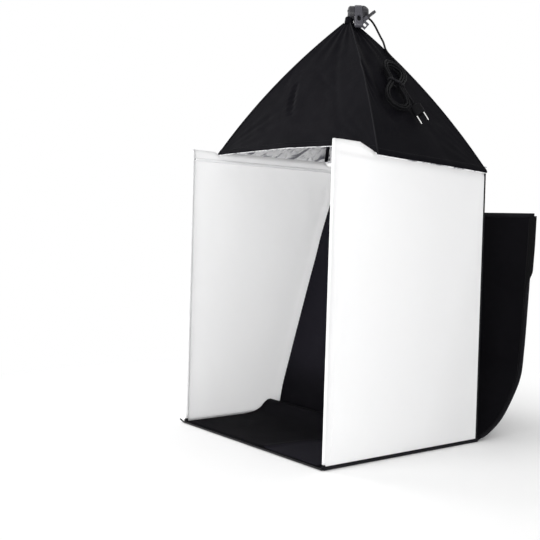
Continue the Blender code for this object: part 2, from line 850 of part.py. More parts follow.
def add_bulb():
    cap_top = cavity_top - 2 * touch_gap - contact_height
    cap_low = cap_top - cap_length
    contact_foot = cap_top - contact_height
    profile = [(0.0, cap_top), (contact_radius, cap_top), (cap_radius - contact_radius, contact_foot)]
    pitch = (contact_foot - cap_low) / (2 * cap_thread_count + 1)
    for step in range(2 * cap_thread_count + 1):
        depth = cap_thread_depth if step % 2 else 0.0
        profile.append((cap_radius - depth, contact_foot - pitch * (step + 0.5)))
    profile += [(bulb_neck_radius, cap_low), (0.0, cap_low)]
    bulb_axis = add_empty("bulb_axis", (0.0, 0.0, cap_low), parent=lamp_axis)
    cap_points, cap_faces = lathe(profile, fine_sides)
    lowered = [(x, y, z - cap_low) for x, y, z in cap_points]
    add_solid("bulb_cap", lowered, cap_faces, steel, bulb_axis)
    glass_top = -touch_gap
    centre = glass_top - bulb_length + bulb_radius
    glass = [(0.0, glass_top), (bulb_neck_radius, glass_top)]
    waist = centre + bulb_radius * 0.8
    glass.append((bulb_neck_radius * 1.02, blend(glass_top, waist, 0.35)))
    for step in range(9):
        angle = math.radians(blend(52.0, -90.0, step / 8))
        glass.append((bulb_radius * math.cos(angle) if step < 8 else 0.0,
                      centre + bulb_radius * math.sin(angle)))
    add_solid("bulb_glass", *lathe(glass, fine_sides), bulb_glass_finish, bulb_axis)


tilt_centre = Vector((0.0, 0.0, tip_height + tilt_above_tip))
x_axis = Vector((1.0, 0.0, 0.0))
y_axis = Vector((0.0, 1.0, 0.0))


def rod_solid(start, end, radius, sides=rod_sides):
    direction = Vector(end) - Vector(start)
    profile = [(0.0, 0.0), (radius, 0.0), (radius, direction.length), (0.0, direction.length)]
    return moved(lathe(profile, sides), along(direction, start))


outlet_centre = Vector((blend(lug_start, lug_end, 0.5), 0.0, outlet_rise))
outlet_end = outlet_centre + y_axis * (outlet_start + outlet_length)
outlet_direction = Vector((math.cos(math.radians(outlet_degrees)), 0.0,
                           -math.sin(math.radians(outlet_degrees))))
relief_start = Vector((lug_end + touch_gap, outlet_back, outlet_rise))


def add_lug():
    """Fixed half of the tilt joint, with the switch's pocket and the cord outlet."""
    edge = clamp_edge_round
    bore_low = lug_end - bolt_seat_depth
    profile = [(0.0, lug_start), (lug_radius - edge, lug_start), (lug_radius, lug_start + edge),
               (lug_radius, lug_end), (bolt_bore_radius, lug_end), (bolt_bore_radius, bore_low),
               (0.0, bore_low)]
    lug = add_solid("tilt_lug", *moved(lathe(profile, fine_sides), along(x_axis)), dark_plastic,
                    lamp_axis, tilt_centre)
    neck_low = tip_height + stem_top_above_tip + touch_gap - tilt_centre.z
    neck = rod_solid((0.0, 0.0, neck_low), (0.0, 0.0, neck_low / 2), lug_neck_radius, 16)
    shape_with(lug, add_solid("lug_neck", *neck, dark_plastic, lamp_axis, tilt_centre), "UNION")
    outlet = rod_solid(outlet_centre + y_axis * outlet_start, outlet_end, outlet_radius, 16)
    shape_with(lug, add_solid("lug_outlet", *outlet, dark_plastic, lamp_axis, tilt_centre), "UNION")
    side = rocker_width / 2 + rocker_clearance
    tall = rocker_length / 2 + rocker_clearance
    pocket = block((lug_start - overrun, -side, -tall), (lug_start + rocker_pocket_depth, side, tall))
    shape_with(lug, add_solid("lug_pocket", *pocket, dark_plastic, lamp_axis, tilt_centre))


def add_switch():
    """Rocker that tips about the middle of its pocket."""
    depth = blend(-rocker_stand_out, rocker_depth, 0.5)
    axis = tilt_centre + x_axis * (lug_start + depth)
    half = (rocker_depth + rocker_stand_out) / 2
    tall = rocker_length / 2
    face = [(-half, -tall), (-half + rocker_crown, 0.0), (-half, tall), (half * 0.4, tall),
            (half, tall * 0.3), (half, -tall * 0.3), (half * 0.4, -tall)]
    points, faces = prism(face, -rocker_width / 2, rocker_width / 2)
    turned = [(y, x, z) for x, y, z in points]
    add_solid("switch_rocker", turned, faces, black_rubber, lamp_axis, axis)


def add_relief():
    """Tapered grip where the cord leaves the lug."""
    profile = [(0.0, 0.0), (relief_start_radius, 0.0)]
    for ring in range(relief_ring_count):
        for low_share, depth in ((0.25, 0.0), (0.45, relief_ring_depth), (0.75, relief_ring_depth),
                                 (0.95, 0.0)):
            share = (ring + low_share) / (relief_ring_count + 0.5)
            radius = blend(relief_start_radius, relief_end_radius, share) - depth
            profile.append((radius, relief_length * share))
    profile += [(relief_end_radius, relief_length), (0.0, relief_length)]
    solid = moved(lathe(profile, 12), along(outlet_direction, relief_start))
    add_solid("strain_relief", *solid, black_rubber, lamp_axis, tilt_centre)


clamp_start = lug_end + touch_gap
clamp_end = clamp_start + clamp_width
tongue_angle = math.radians(clamp_tongue_degrees)
tongue_direction = Vector((0.0, math.cos(tongue_angle), math.sin(tongue_angle)))
tongue_normal = Vector((0.0, math.cos(tongue_angle - math.pi / 2), math.sin(tongue_angle - math.pi / 2)))


def clamp_outline():
    """Disc about the tilt axis with a tongue that ends round."""
    lean = math.acos((clamp_disc_radius - clamp_tongue_radius) / clamp_tongue_length)
    outline = []
    steps = 18
    for step in range(steps + 1):
        angle = tongue_angle + blend(lean, math.tau - lean, step / steps)
        outline.append((clamp_disc_radius * math.cos(angle), clamp_disc_radius * math.sin(angle)))
    end = tongue_direction * clamp_tongue_length
    for step in range(7):
        angle = tongue_angle + blend(-lean, lean, step / 6)
        outline.append((end.y + clamp_tongue_radius * math.cos(angle),
                        end.z + clamp_tongue_radius * math.sin(angle)))
    return outline


def add_clamp():
    """Stand clamp that swings about the tilt axis, with its slot, eye and screw boss."""
    clamp = add_solid("stand_clamp", *prism(clamp_outline(), clamp_start, clamp_end), grey_plastic,
                      lamp_axis, tilt_centre)
    round_edges(clamp, clamp_edge_round)

    def tool(name, solid):
        return add_solid(name, *solid, grey_plastic, lamp_axis, tilt_centre)

    eye_centre = Vector(eye_place)
    turn = Matrix.Translation(eye_centre) @ Matrix.Rotation(math.radians(eye_turn_degrees), 4, "Y")
    wide, tall, deep = eye_width / 2, eye_height / 2, eye_thickness / 2
    eye = moved(block((-wide, -deep, -tall), (wide, deep, tall)), turn)
    shape_with(clamp, tool("clamp_eye", eye), "UNION")
    boss_start = Vector(screw_boss_start)
    angle = math.radians(screw_degrees)
    direction = Vector((math.cos(angle), 0.0, math.sin(angle)))
    boss_end = boss_start + direction * screw_boss_length
    boss = rod_solid(boss_start, boss_end, screw_boss_radius, 16)
    shape_with(clamp, tool("clamp_screw_boss", boss), "UNION")
    wide, tall = eye_window_width / 2, eye_window_height / 2
    deep += overrun
    window = moved(block((-wide, -deep, -tall), (wide, deep, tall)), turn)
    shape_with(clamp, tool("clamp_eye_window", window))
    bore_start = boss_start + direction * (screw_boss_length / 3)
    bore = rod_solid(bore_start, boss_end + direction * overrun, screw_bore_radius)
    shape_with(clamp, tool("clamp_screw_bore", bore))
    bolt_bore = rod_solid((clamp_start - overrun, 0.0, 0.0), (clamp_end + overrun, 0.0, 0.0),
                          bolt_bore_radius, 16)
    shape_with(clamp, tool("clamp_bolt_bore", bolt_bore))
    middle = x_axis * blend(clamp_start, clamp_end, 0.5) + tongue_direction * slot_along
    surface = tongue_surface(slot_along)
    slot = []
    radius = slot_width / 2
    straight_half = slot_length / 2 - radius
    for end_sign in (1, -1):
        for step in range(7):
            turn_angle = math.pi * step / 6 - math.pi / 2 + (0 if end_sign > 0 else math.pi)
            slot.append((end_sign * straight_half + radius * math.cos(turn_angle),
                         radius * math.sin(turn_angle)))
    points = []
    for depth in (surface - slot_depth, surface + overrun):
        for lengthwise, sideways in slot:
            points.append(middle + tongue_direction * lengthwise + x_axis * sideways
                          + tongue_normal * depth)
    count = len(slot)
    faces = [tuple(range(count)), tuple(range(count, 2 * count))]
    faces += [(i, (i + 1) % count, count + (i + 1) % count, count + i) for i in range(count)]
    shape_with(clamp, tool("clamp_slot", (points, faces)))
    return boss_end, direction


def tongue_surface(distance):
    """Height of the tongue's outer flank over its middle line at a distance from the axis."""
    return blend(clamp_disc_radius, clamp_tongue_radius, distance / clamp_tongue_length)


def add_clamp_screw(boss_end, direction):
    """Thumb screw with a flat head."""
    start = boss_end - direction * (screw_boss_length * 0.6)
    axis_place = tilt_centre + boss_end
    shaft_low = (start - boss_end).length
    collar_low = touch_gap
    collar_high = collar_low + screw_collar_length
    profile = [(0.0, -shaft_low), (screw_radius, -shaft_low), (screw_radius, collar_low),
               (screw_collar_radius, collar_low), (screw_collar_radius, collar_high),
               (0.0, collar_high)]
    turn = along(direction)
    screw = add_solid("clamp_screw", *moved(lathe(profile, 16), turn), dark_plastic, lamp_axis,
                      axis_place)
    head_low = collar_low + screw_collar_length / 2
    half_width, half_thick = screw_head_width / 2, screw_head_thickness / 2
    corner = screw_head_width / 4
    high = head_low + screw_head_length
    face = [(-half_width, head_low + corner), (-half_width + corner, head_low),
            (half_width - corner, head_low), (half_width, head_low + corner),
            (half_width, high - corner), (half_width - corner, high),
            (-half_width + corner, high), (-half_width, high - corner)]
    head_turn = turn @ Matrix.Rotation(math.radians(screw_head_turn_degrees), 4, "Z")
    head = add_solid("screw_head", *moved(prism(face, -half_thick, half_thick), head_turn), dark_plastic,
                     lamp_axis, axis_place)
    shape_with(screw, head, "UNION")


def add_tilt_knob():
    knob_start = clamp_end + touch_gap
    bore_end = knob_start + knob_bore_depth
    profile = [(0.0, bore_end), (bolt_bore_radius, bore_end), (bolt_bore_radius, knob_start),
               (knob_radius, knob_start)]
    for step in range(1, 6):
        share = step / 5
        bulge = math.sqrt(1 - (share * 0.83)**2)
        profile.append((blend(knob_end_radius, knob_radius, (bulge - 0.557) / 0.443),
                        knob_start + knob_length * share))
    profile.append((0.0, knob_start + knob_length))
    solid = lathe(profile, 3 * knob_flute_count, False, knob_flute_count, knob_flute_share)
    add_solid("tilt_knob", *moved(solid, along(x_axis)), dark_plastic, lamp_axis, tilt_centre)
    bolt_start = lug_end - bolt_seat_depth + touch_gap
    bolt = rod_solid((bolt_start, 0.0, 0.0), (bore_end - touch_gap, 0.0, 0.0), bolt_radius, 16)
    add_solid("tilt_bolt", *bolt, steel, lamp_axis, tilt_centre)


def hank_frame():
    """Origin, axes and bend of the hank's place on the hood's right face."""
    first, second = "front_right", "back_right"
    across, up = hank_place_shares
    origin = face_point(first, second, 0.0, across, up)
    side_step = (face_point(first, second, 0.0, 1.0, up) - origin).normalized()
    down_step = (face_point(first, second, 0.0, across, up - 0.05) - origin).normalized()
    normal = down_step.cross(side_step).normalized()
    down = side_step.cross(normal).normalized()
    turn = math.radians(hank_turn_degrees)
    lengthwise = down * math.cos(turn) - side_step * math.sin(turn)
    sideways = normal.cross(lengthwise).normalized()
    drops = []
    for share in (up - 0.25, up + 0.2):
        step = face_point(first, second, 0.0, across, share) - origin
        drops.append(-step.dot(normal) / step.length_squared)
    return origin, lengthwise, sideways, normal, sum(drops) / len(drops)


hank_origin, hank_x, hank_y, hank_z, hank_bend = hank_frame()


def on_hood(x, y, height):
    """Place over the hood's right face, from the hank's own frame."""
    return hank_origin + hank_x * x + hank_y * y + hank_z * (height - hank_bend * x * x)


hank_low = 2 * touch_gap + tie_thickness + cord_radius


def hank_outline():
    """One closed loop of the hank's innermost turn, 24 points in its own plane."""
    sides = []
    for upper_half, lower_half in ((hank_upper_right, hank_lower_right), (hank_upper_left, hank_lower_left)):
        side = []
        for length_share, width_share in hank_outline_shares:
            upper = length_share < 0
            length = hank_upper_length if upper else hank_lower_length
            half = upper_half if upper else lower_half
            side.append((length * length_share, blend(hank_waist_half, half, width_share)))
        sides.append(side)
    top, foot = Vector((-hank_upper_length, 0.0)), Vector((hank_lower_length, 0.0))
    right, left = sides
    return [top] + [Vector(p) for p in right] + [foot] + [Vector((x, -y)) for x, y in left[::-1]]


loop_outline = hank_outline()


def loop_point(turns):
    """Place and outward normal on the innermost loop at a number of turns."""
    count = len(loop_outline)
    place = turns * count
    index, share = int(math.floor(place)), place - math.floor(place)
    before, a, b, after = (loop_outline[(index + step) % count] for step in (-1, 0, 1, 2))
    s = share
    point = 0.5 * (2 * a + (b - before) * s + (2 * before - 5 * a + 4 * b - after) * s**2
                   + (3 * a - before - 3 * b + after) * s**3)
    slope = 0.5 * ((b - before) + 2 * (2 * before - 5 * a + 4 * b - after) * s
                   + 3 * (3 * a - before - 3 * b + after) * s**2)
    slope.normalize()
    return point, Vector((-slope.y, slope.x))


def hank_point(turns):
    """Cord centre in the hank: in from outside, up a layer, and out again."""
    half = hank_turns / 2
    point, normal = loop_point(turns)
    point = point + normal * (hank_step * abs(half - turns))
    climb = min(1.0, max(0.0, (turns - half + 0.25) / 0.5))
    rise = climb * climb * (3 - 2 * climb)
    return on_hood(point.x, point.y, hank_low + hank_step * rise)


def hank_path():
    """Points of the hank from its start to its end, with straight ends of one diameter."""
    first = hank_start_share / hank_points_per_turn
    last = hank_turns + hank_end_share / hank_points_per_turn
    count = round((last - first) * hank_points_per_turn) + 1
    points = [hank_point(blend(first, last, index / (count - 1))) for index in range(count)]
    start_step = (points[0] - points[1]).normalized() * (2 * cord_radius)
    end_step = (points[-1] - points[-2]).normalized() * (2 * cord_radius)
    return [points[0] + start_step] + points + [points[-1] + end_step]


def least_gap(points):
    """Smallest clear space between stretches of the hank that aren't neighbours along it."""
    dense = []
    for a, b in zip(points, points[1:]):
        dense += [blend(a, b, step / 3) for step in range(3)]
    skip = hank_points_per_turn
    gap = min((dense[i] - dense[j]).length for i in range(len(dense)) for j in range(i + skip, len(dense)))
    return gap - 2 * cord_radius


def lamp_to_world(point):
    turn = Matrix.Rotation(math.radians(lamp_turn_degrees), 3, "Z")
    return turn @ (Vector(point) + tilt_centre) + Vector((0.0, hood_axis_back, 0.0))


def lead_route(hank_start, hank_tangent):
    """Route of the cord from its strain relief down to the hank."""
    exit_place = relief_start + outlet_direction * (relief_length + touch_gap)
    diameter = 2 * cord_radius
    free = [exit_place, exit_place + outlet_direction * diameter,
            exit_place + outlet_direction * (2 * diameter)]
    free += [Vector(step) for step in lead_free_places]
    route = [lamp_to_world(step) for step in free]
    route += [on_hood(x, y, height) for x, y, height in lead_hood_places]
    join = hank_start - hank_tangent * touch_gap
    route += [join - hank_tangent * (3 * diameter), join - hank_tangent * diameter, join]
    return route


# The cord's route, chosen by hand: first in the tilt joint's frame, then over the hood's face
lead_free_places = (
    (0.0415, 0.0210, -0.0075), (0.0480, 0.0185, -0.0170), (0.0535, 0.0130, -0.0290),
    (0.0580, 0.0060, -0.0400), (0.0620, -0.0020, -0.0500),
)
lead_hood_places = (
    (-0.0967, -0.0140, 0.0026), (-0.0815, -0.0008, 0.0028),
)
plug_start_place = (0.0336, 0.0344, 0.0098)
plug_direction = (0.786, 0.618, 0.0)


def add_cord():
    hank = hank_path()
    gap = least_gap(hank)
    print("least gap of the hank to itself, mm:", round(gap * 1000, 2))
    add_tube("cord_hank", hank, cord_radius, black_rubber, 1)
    lead = smooth_curve(lead_route(hank[0], (hank[1] - hank[0]).normalized()), 44)
    add_tube("cord_lead", lead, cord_radius, black_rubber, 2)
    start = on_hood(*plug_start_place)
    direction = (on_hood(*(a + b * 0.01 for a, b in zip(plug_start_place, plug_direction))) - start)
    direction.normalize()
    leave = (hank[-1] - hank[-2]).normalized()
    diameter = 2 * cord_radius
    join = start - direction * touch_gap
    first = hank[-1] + leave * touch_gap
    route = [first, first + leave * diameter, join - direction * diameter, join]
    tail = smooth_curve(route, 10)
    add_tube("cord_tail", tail, cord_radius, black_rubber, 2)
    total = path_length(lead) + path_length(hank) + path_length(tail)
    print("cord lengths, m:", [round(path_length(p), 4) for p in (lead, hank, tail)], round(total, 4))
    return start, direction


def add_tie():
    """Flat band round the hank's waist."""
    left, right = (hank_waist_half + hank_step * turns + cord_radius + tie_clearance
                   for turns in tie_turns)
    low = touch_gap + tie_thickness
    high = hank_low + hank_step + cord_radius + tie_clearance
    corner = (high - low) / 2
    grids = []
    for spread in (tie_thickness, 0.0):
        ring = []
        for step in range(20):
            angle = math.tau * step / 20
            shift = right - corner if math.cos(angle) > 0 else corner - left
            ring.append((shift + (corner + spread) * math.cos(angle),
                         (low + high) / 2 + (corner + spread) * math.sin(angle)))
        grids.append([[on_hood(x, y, h) for y, h in ring] for x in (-tie_width / 2, tie_width / 2)])
    add_solid("hank_tie", *sheet_between(*grids, closed_rows=True), black_rubber)


def add_plug(start, direction):
    """Two-blade plug lying on the hood, turned on its side."""
    side = hank_z.cross(direction).normalized()
    over = direction.cross(side).normalized()
    turn = math.radians(plug_turn_degrees)
    wide = side * math.cos(turn) + over * math.sin(turn)
    thick = direction.cross(wide).normalized()
    neck = []
    for along_neck, wide_share, thick_share in plug_neck_shares:
        neck.append((plug_neck_length * along_neck, blend(plug_neck_radius, plug_half_width, wide_share),
                     blend(plug_neck_radius, plug_half_height, thick_share)))
    body_end = plug_neck_length + plug_length
    rings = neck + [(plug_neck_length * 1.15, plug_half_width, plug_half_height),
                    (body_end - plug_neck_radius / 2, plug_half_width, plug_half_height),
                    (body_end, plug_half_width * 0.9, plug_half_height * 0.86)]
    grid = []
    for reach, half_w, half_h in rings:
        ring = []
        for step in range(20):
            angle = math.tau * step / 20
            across = math.copysign(abs(math.cos(angle))**0.8, math.cos(angle)) * half_w
            up = math.copysign(abs(math.sin(angle))**0.8, math.sin(angle)) * half_h
            ring.append(start + direction * reach + wide * across + thick * up)
        grid.append(ring)
    points = [point for ring in grid for point in ring]
    faces = grid_faces(len(grid), 20, 0, True)
    faces += [tuple(range(20)), tuple(range(len(points) - 20, len(points)))]
    add_solid("plug_body", points, faces, black_rubber)
    for name, sign in (("left", -1), ("right", 1)):
        root = start + direction * (body_end + touch_gap) + wide * (sign * blade_spacing / 2)
        turn_matrix = Matrix((wide, thick, direction)).transposed().to_4x4()
        matrix = Matrix.Translation(root) @ turn_matrix
        half_t, half_w, corner = blade_thickness / 2, blade_width / 2, blade_width / 4
        face = [(-half_w, 0.0), (half_w, 0.0), (half_w, blade_length - corner),
                (half_w - corner, blade_length), (-half_w + corner, blade_length),
                (-half_w, blade_length - corner)]
        blade = add_solid("plug_blade_" + name, *moved(prism(face, -half_t, half_t), matrix), brass)
        hole_place = blade_length - blade_hole_from_tip
        hole = moved(rod_solid((-half_t - overrun, 0.0, hole_place), (half_t + overrun, 0.0, hole_place),
                               blade_hole_radius, 12), matrix)
        shape_with(blade, add_solid("blade_hole_" + name, *hole, brass))


add_floor()
for side_name, side_sign in (("left", -1), ("right", 1)):
    add_wall(side_name, side_sign)
    add_side_rail(side_name, side_sign)
    for pole_place in ("front", "back"):
        add_pole(pole_place, side_name, side_sign)
add_back_rail()
add_sweep()
add_back_panel()
add_hood_cover()
add_lining()
for corner_name in corner_order:
    add_rib(corner_name)
add_hub()
add_socket()
add_bulb()
add_lug()
add_switch()
add_relief()
add_clamp_screw(*add_clamp())
add_tilt_knob()
add_plug(*add_cord())
add_tie()
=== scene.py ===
import math
from itertools import repeat

import bpy
from mathutils import Matrix, Vector, noise


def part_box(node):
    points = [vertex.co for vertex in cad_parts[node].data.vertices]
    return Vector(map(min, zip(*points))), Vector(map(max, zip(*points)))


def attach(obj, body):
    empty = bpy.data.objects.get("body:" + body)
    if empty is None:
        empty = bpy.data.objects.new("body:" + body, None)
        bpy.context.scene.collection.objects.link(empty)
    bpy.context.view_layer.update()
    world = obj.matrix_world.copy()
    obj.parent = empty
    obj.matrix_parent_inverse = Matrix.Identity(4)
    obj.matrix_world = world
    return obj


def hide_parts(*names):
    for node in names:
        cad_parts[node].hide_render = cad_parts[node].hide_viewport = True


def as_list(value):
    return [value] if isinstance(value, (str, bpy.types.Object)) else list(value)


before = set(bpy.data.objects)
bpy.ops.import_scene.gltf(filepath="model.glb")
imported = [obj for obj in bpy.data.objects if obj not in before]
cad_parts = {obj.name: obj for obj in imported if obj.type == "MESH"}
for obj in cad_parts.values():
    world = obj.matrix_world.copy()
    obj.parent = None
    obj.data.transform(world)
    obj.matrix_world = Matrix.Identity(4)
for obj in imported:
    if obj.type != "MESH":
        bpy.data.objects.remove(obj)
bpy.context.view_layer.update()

x_axis = Vector((1.0, 0.0, 0.0))
y_axis = Vector((0.0, 1.0, 0.0))
z_axis = Vector((0.0, 0.0, 1.0))


# Numbers and curves
def blend(a, b, share):
    return a + (b - a) * share


def steps(start, end, count):
    """Values or points from start to end, in even steps."""
    return [blend(start, end, index / count) for index in range(count + 1)]


def ease(value, low=0.0, high=1.0):
    """Smooth step from 0 at low to 1 at high."""
    share = min(1.0, max(0.0, (value - low) / (high - low)))
    return share * share * (3 - 2 * share)


def rough(point, scale, seed):
    """Smooth noise from about -1 to 1."""
    return noise.noise(Vector(point) * scale + Vector((seed, seed * 0.7, -seed)))


def turned(one, other, angle):
    """The first of two square axes, turned towards the second."""
    return one * math.cos(angle) + other * math.sin(angle)


def angles(count):
    return [math.tau * step / count for step in range(count)]


def squared(angle, power):
    """Point of a unit circle, squared off by a power below 1."""
    return [math.copysign(abs(part)**power, part) for part in (math.cos(angle), math.sin(angle))]


def path_length(points):
    return sum((b - a).length for a, b in zip(points, points[1:]))


def tangents(path):
    return [(b - a).normalized() for a, b in zip(path[:1] + path[:-1], path[1:] + path[-1:])]


def curve_normals(curve):
    """Normals of a curve in the YZ plane."""
    return [Vector((0.0, -along.z, along.y)) for along in tangents(curve)]


def spread_evenly(path, count):
    """Points at even spacing along a path."""
    reach = [0.0]
    for a, b in zip(path, path[1:]):
        reach.append(reach[-1] + (b - a).length)
    points, low = [], 0
    for target in steps(0.0, reach[-1], count - 1):
        while low < len(reach) - 2 and reach[low + 1] < target:
            low += 1
        span = max(reach[low + 1] - reach[low], 1e-9)
        points.append(blend(path[low], path[low + 1], (target - reach[low]) / span))
    return points


def spline(before, a, b, after, s):
    """Place and slope at share s from a to b on a smooth curve."""
    square = 2 * before - 5 * a + 4 * b - after
    cube = 3 * a - before - 3 * b + after
    place = 0.5 * (2 * a + (b - before) * s + square * s**2 + cube * s**3)
    return place, 0.5 * ((b - before) + 2 * square * s + 3 * cube * s**2)


def smooth_curve(controls, count, density=24):
    """Points at even spacing on a smooth curve through the controls."""
    controls = [Vector(control) for control in controls]
    ends = [controls[0] * 2 - controls[1]] + controls + [controls[-1] * 2 - controls[-2]]
    dense = [spline(*four, step / density)[0]
             for four in zip(ends, ends[1:], ends[2:], ends[3:]) for step in range(density)]
    return spread_evenly(dense + [controls[-1]], count)


def link_object(name, data):
    thing = bpy.data.objects.new(name, data)
    bpy.context.scene.collection.objects.link(thing)
    return thing


# Camera: where the photograph was taken from
camera_place = (1.2936, -1.1193, 0.3896)
camera_azimuth = math.radians(52.78)
camera_dip = math.radians(3.29)
camera_roll = math.radians(1.23)
camera_lens = 63.53
camera_clip_start = 0.01


def add_camera():
    forward = turned(turned(y_axis, -x_axis, camera_azimuth), -z_axis, camera_dip)
    right = turned(x_axis, y_axis, camera_azimuth)
    up = right.cross(forward)
    axes = Matrix((turned(right, up, camera_roll), turned(up, -right, camera_roll), -forward))
    data = bpy.data.cameras.new("camera")
    data.lens = camera_lens
    data.clip_start = camera_clip_start
    camera = link_object("camera", data)
    camera.matrix_world = Matrix.Translation(camera_place) @ axes.transposed().to_4x4()
    bpy.context.scene.camera = camera


add_camera()


# Materials
class Nodes:
    """Short forms for the nodes of one tree."""

    def __init__(self, tree):
        self.tree = tree

    def add(self, kind, inputs=None, **settings):
        """New node; an input takes a value, or the output that feeds it."""
        node = self.tree.nodes.new("ShaderNode" + kind)
        for name, value in settings.items():
            setattr(node, name, value)
        for socket, value in (inputs or {}).items():
            if isinstance(value, bpy.types.NodeSocket):
                self.tree.links.new(value, node.inputs[socket])
            else:
                node.inputs[socket].default_value = value
        return node

    def combine(self, operation, one, other):
        return self.add("Math", {0: one, 1: other}, operation=operation).outputs[0]

    def span(self, factor, low=0.0, high=1.0, start=0.0, end=1.0, shape="LINEAR"):
        """From start where the factor is low to end where it is high."""
        inputs = {"Value": factor, "From Min": low, "From Max": high, "To Min": start, "To Max": end}
        return self.add("MapRange", inputs, interpolation_type=shape).outputs["Result"]

    def mix_surface(self, share, first, second):
        both = self.add("MixShader", {"Fac": share, 1: first, 2: second})
        self.tree.links.new(both.outputs[0], self.tree.nodes["Material Output"].inputs["Surface"])


finishes = {}


class Finish(Nodes):
    """Principled material with layers of colour, roughness and bump."""

    def __init__(self, name, roughness=0.5, specular=0.5, metallic=0.0):
        finishes[name] = bpy.data.materials.new(name)
        finishes[name].use_nodes = True
        super().__init__(finishes[name].node_tree)
        self.shader = self.tree.nodes["Principled BSDF"]
        self.set("Roughness", roughness)
        self.set("Specular IOR Level", specular)
        self.set("Metallic", metallic)
        places = self.add("TexCoord").outputs
        self.cloth_place, self.solid_place = places["UV"], places["Object"]

    def set(self, socket, value):
        self.shader.inputs[socket].default_value = value

    def feed(self, socket, output):
        self.tree.links.new(output, self.shader.inputs[socket])

    def noise(self, scale, detail=3.0, roughness=0.55, distortion=0.0, place=None):
        inputs = {"Scale": scale, "Detail": detail, "Roughness": roughness, "Distortion": distortion,
                  "Vector": place or self.solid_place}
        return self.add("TexNoise", inputs).outputs["Fac"]

    def streaks(self, scale, stretch, turn):
        """Noise drawn out along one direction in the YZ plane."""
        inputs = {"Vector": self.solid_place, "Rotation": (math.radians(turn), 0.0, 0.0),
                  "Scale": (1.0, stretch, 1.0)}
        drawn = self.add("Mapping", inputs, vector_type="TEXTURE")
        return self.noise(scale, 4.0, 0.6, 0.5, drawn.outputs["Vector"])

    def cells(self, scale):
        return self.add("TexVoronoi", {"Scale": scale, "Vector": self.solid_place}).outputs["Distance"]

    def weave(self, period):
        """Crossed threads at a spacing in metres."""
        inputs = {"Scale": math.tau / (20 * period), "Vector": self.cloth_place}
        waves = [self.add("TexWave", inputs, bands_direction=way).outputs["Fac"] for way in "XY"]
        return self.combine("MAXIMUM", *waves)

    def colours(self, factor, low, high):
        mixed = self.add("Mix", {"Factor": factor, 6: (*low, 1.0), 7: (*high, 1.0)}, data_type="RGBA")
        self.feed("Base Color", mixed.outputs[2])

    def roughness(self, factor, low, high):
        self.feed("Roughness", self.span(factor, start=low, end=high))

    def bump(self, height, distance, strength):
        """Bump on top of the bumps made before it."""
        inputs = {"Strength": strength, "Distance": distance, "Height": height}
        normal = self.shader.inputs["Normal"]
        if normal.is_linked:
            inputs["Normal"] = normal.links[0].from_socket
        self.feed("Normal", self.add("Bump", inputs).outputs["Normal"])

    def translucent(self, share, colour):
        """Let light through from behind."""
        through = self.add("BsdfTranslucent", {"Color": (*colour, 1.0)})
        self.mix_surface(share, self.shader.outputs[0], through.outputs[0])


def make_black_nylon():
    nylon = Finish("black_nylon", specular=0.04)
    nylon.colours(nylon.noise(9.0, 4.0), (0.0021, 0.0020, 0.0031), (0.0048, 0.0045, 0.0064))
    nylon.roughness(nylon.noise(30.0, 4.0), 0.62, 0.8)
    nylon.bump(nylon.weave(0.0011), 0.00006, 0.5)
    nylon.bump(nylon.noise(55.0, 5.0, 0.6, 0.8), 0.0012, 0.45)


# Past this crease line on the floor, and on its upright part, the backdrop's colour is painted lighter: a
# painted sheen on the floor and painted light on the upright part
crease_line_normal = Vector((0.991, -0.132, 0.0))
crease_line_offset = 0.0718
sheen_edge_range = (0.0700, 0.0745)
painted_light_rise_range = (0.05, 0.13)


def painted_sheen_mask(felt):
    """1 where the backdrop's colour is painted lighter: painted sheen on the floor and painted light on the
    upright part.
    """
    past = felt.add("VectorMath", {0: felt.solid_place, 1: crease_line_normal}, operation="DOT_PRODUCT")
    height = felt.add("SeparateXYZ", {0: felt.solid_place})
    edge = felt.span(past.outputs["Value"], *sheen_edge_range, shape="SMOOTHSTEP")
    rise = felt.span(height.outputs["Z"], *painted_light_rise_range, shape="SMOOTHSTEP")
    mottle = felt.span(felt.noise(18.0, 5.0), start=0.75, end=1.1)
    return felt.combine("MULTIPLY", felt.combine("MAXIMUM", edge, rise), mottle)


def make_felt(name, low, high):
    felt = Finish(name, 0.9, 0.05)
    # The backdrop's felt takes its lighter colour from a mask of painted sheen and painted light; the other
    # felts vary at random
    felt.colours(painted_sheen_mask(felt) if name == "sheen_painted_felt" else felt.noise(14.0, 5.0), low, high)
    felt.bump(felt.noise(900.0, 2.0), 0.0002, 0.5)
    felt.bump(felt.noise(35.0, 4.0, 0.6, 0.6), 0.0016, 0.4)


def make_black_binding():
    binding = Finish("black_binding", 0.75, 0.08)
    binding.bump(binding.weave(0.0018), 0.00025, 0.8)
    binding.colours(binding.noise(60.0), (0.006, 0.006, 0.0075), (0.014, 0.0135, 0.016))


def make_loop_tape():
    loops = Finish("loop_tape", 0.9, 0.05)
    loops.colours(loops.cells(1100.0), (0.003, 0.003, 0.0035), (0.012, 0.012, 0.013))
    loops.bump(loops.cells(1100.0), 0.0006, 0.9)


def make_white_nylon():
    white = Finish("white_nylon", 0.75, 0.2)
    white.colours(white.noise(7.0), (0.93, 0.93, 0.935), (0.955, 0.955, 0.955))
    white.bump(white.weave(0.0010), 0.00005, 0.35)
    white.bump(white.noise(28.0, 3.0, 0.5, 0.5), 0.0010, 0.25)
    white.translucent(0.35, (0.95, 0.95, 0.95))


def make_white_tape():
    tape = Finish("white_tape", 0.8)
    tape.bump(tape.weave(0.0016), 0.0002, 0.6)
    tape.colours(tape.noise(40.0), (0.88, 0.88, 0.89), (0.94, 0.94, 0.95))


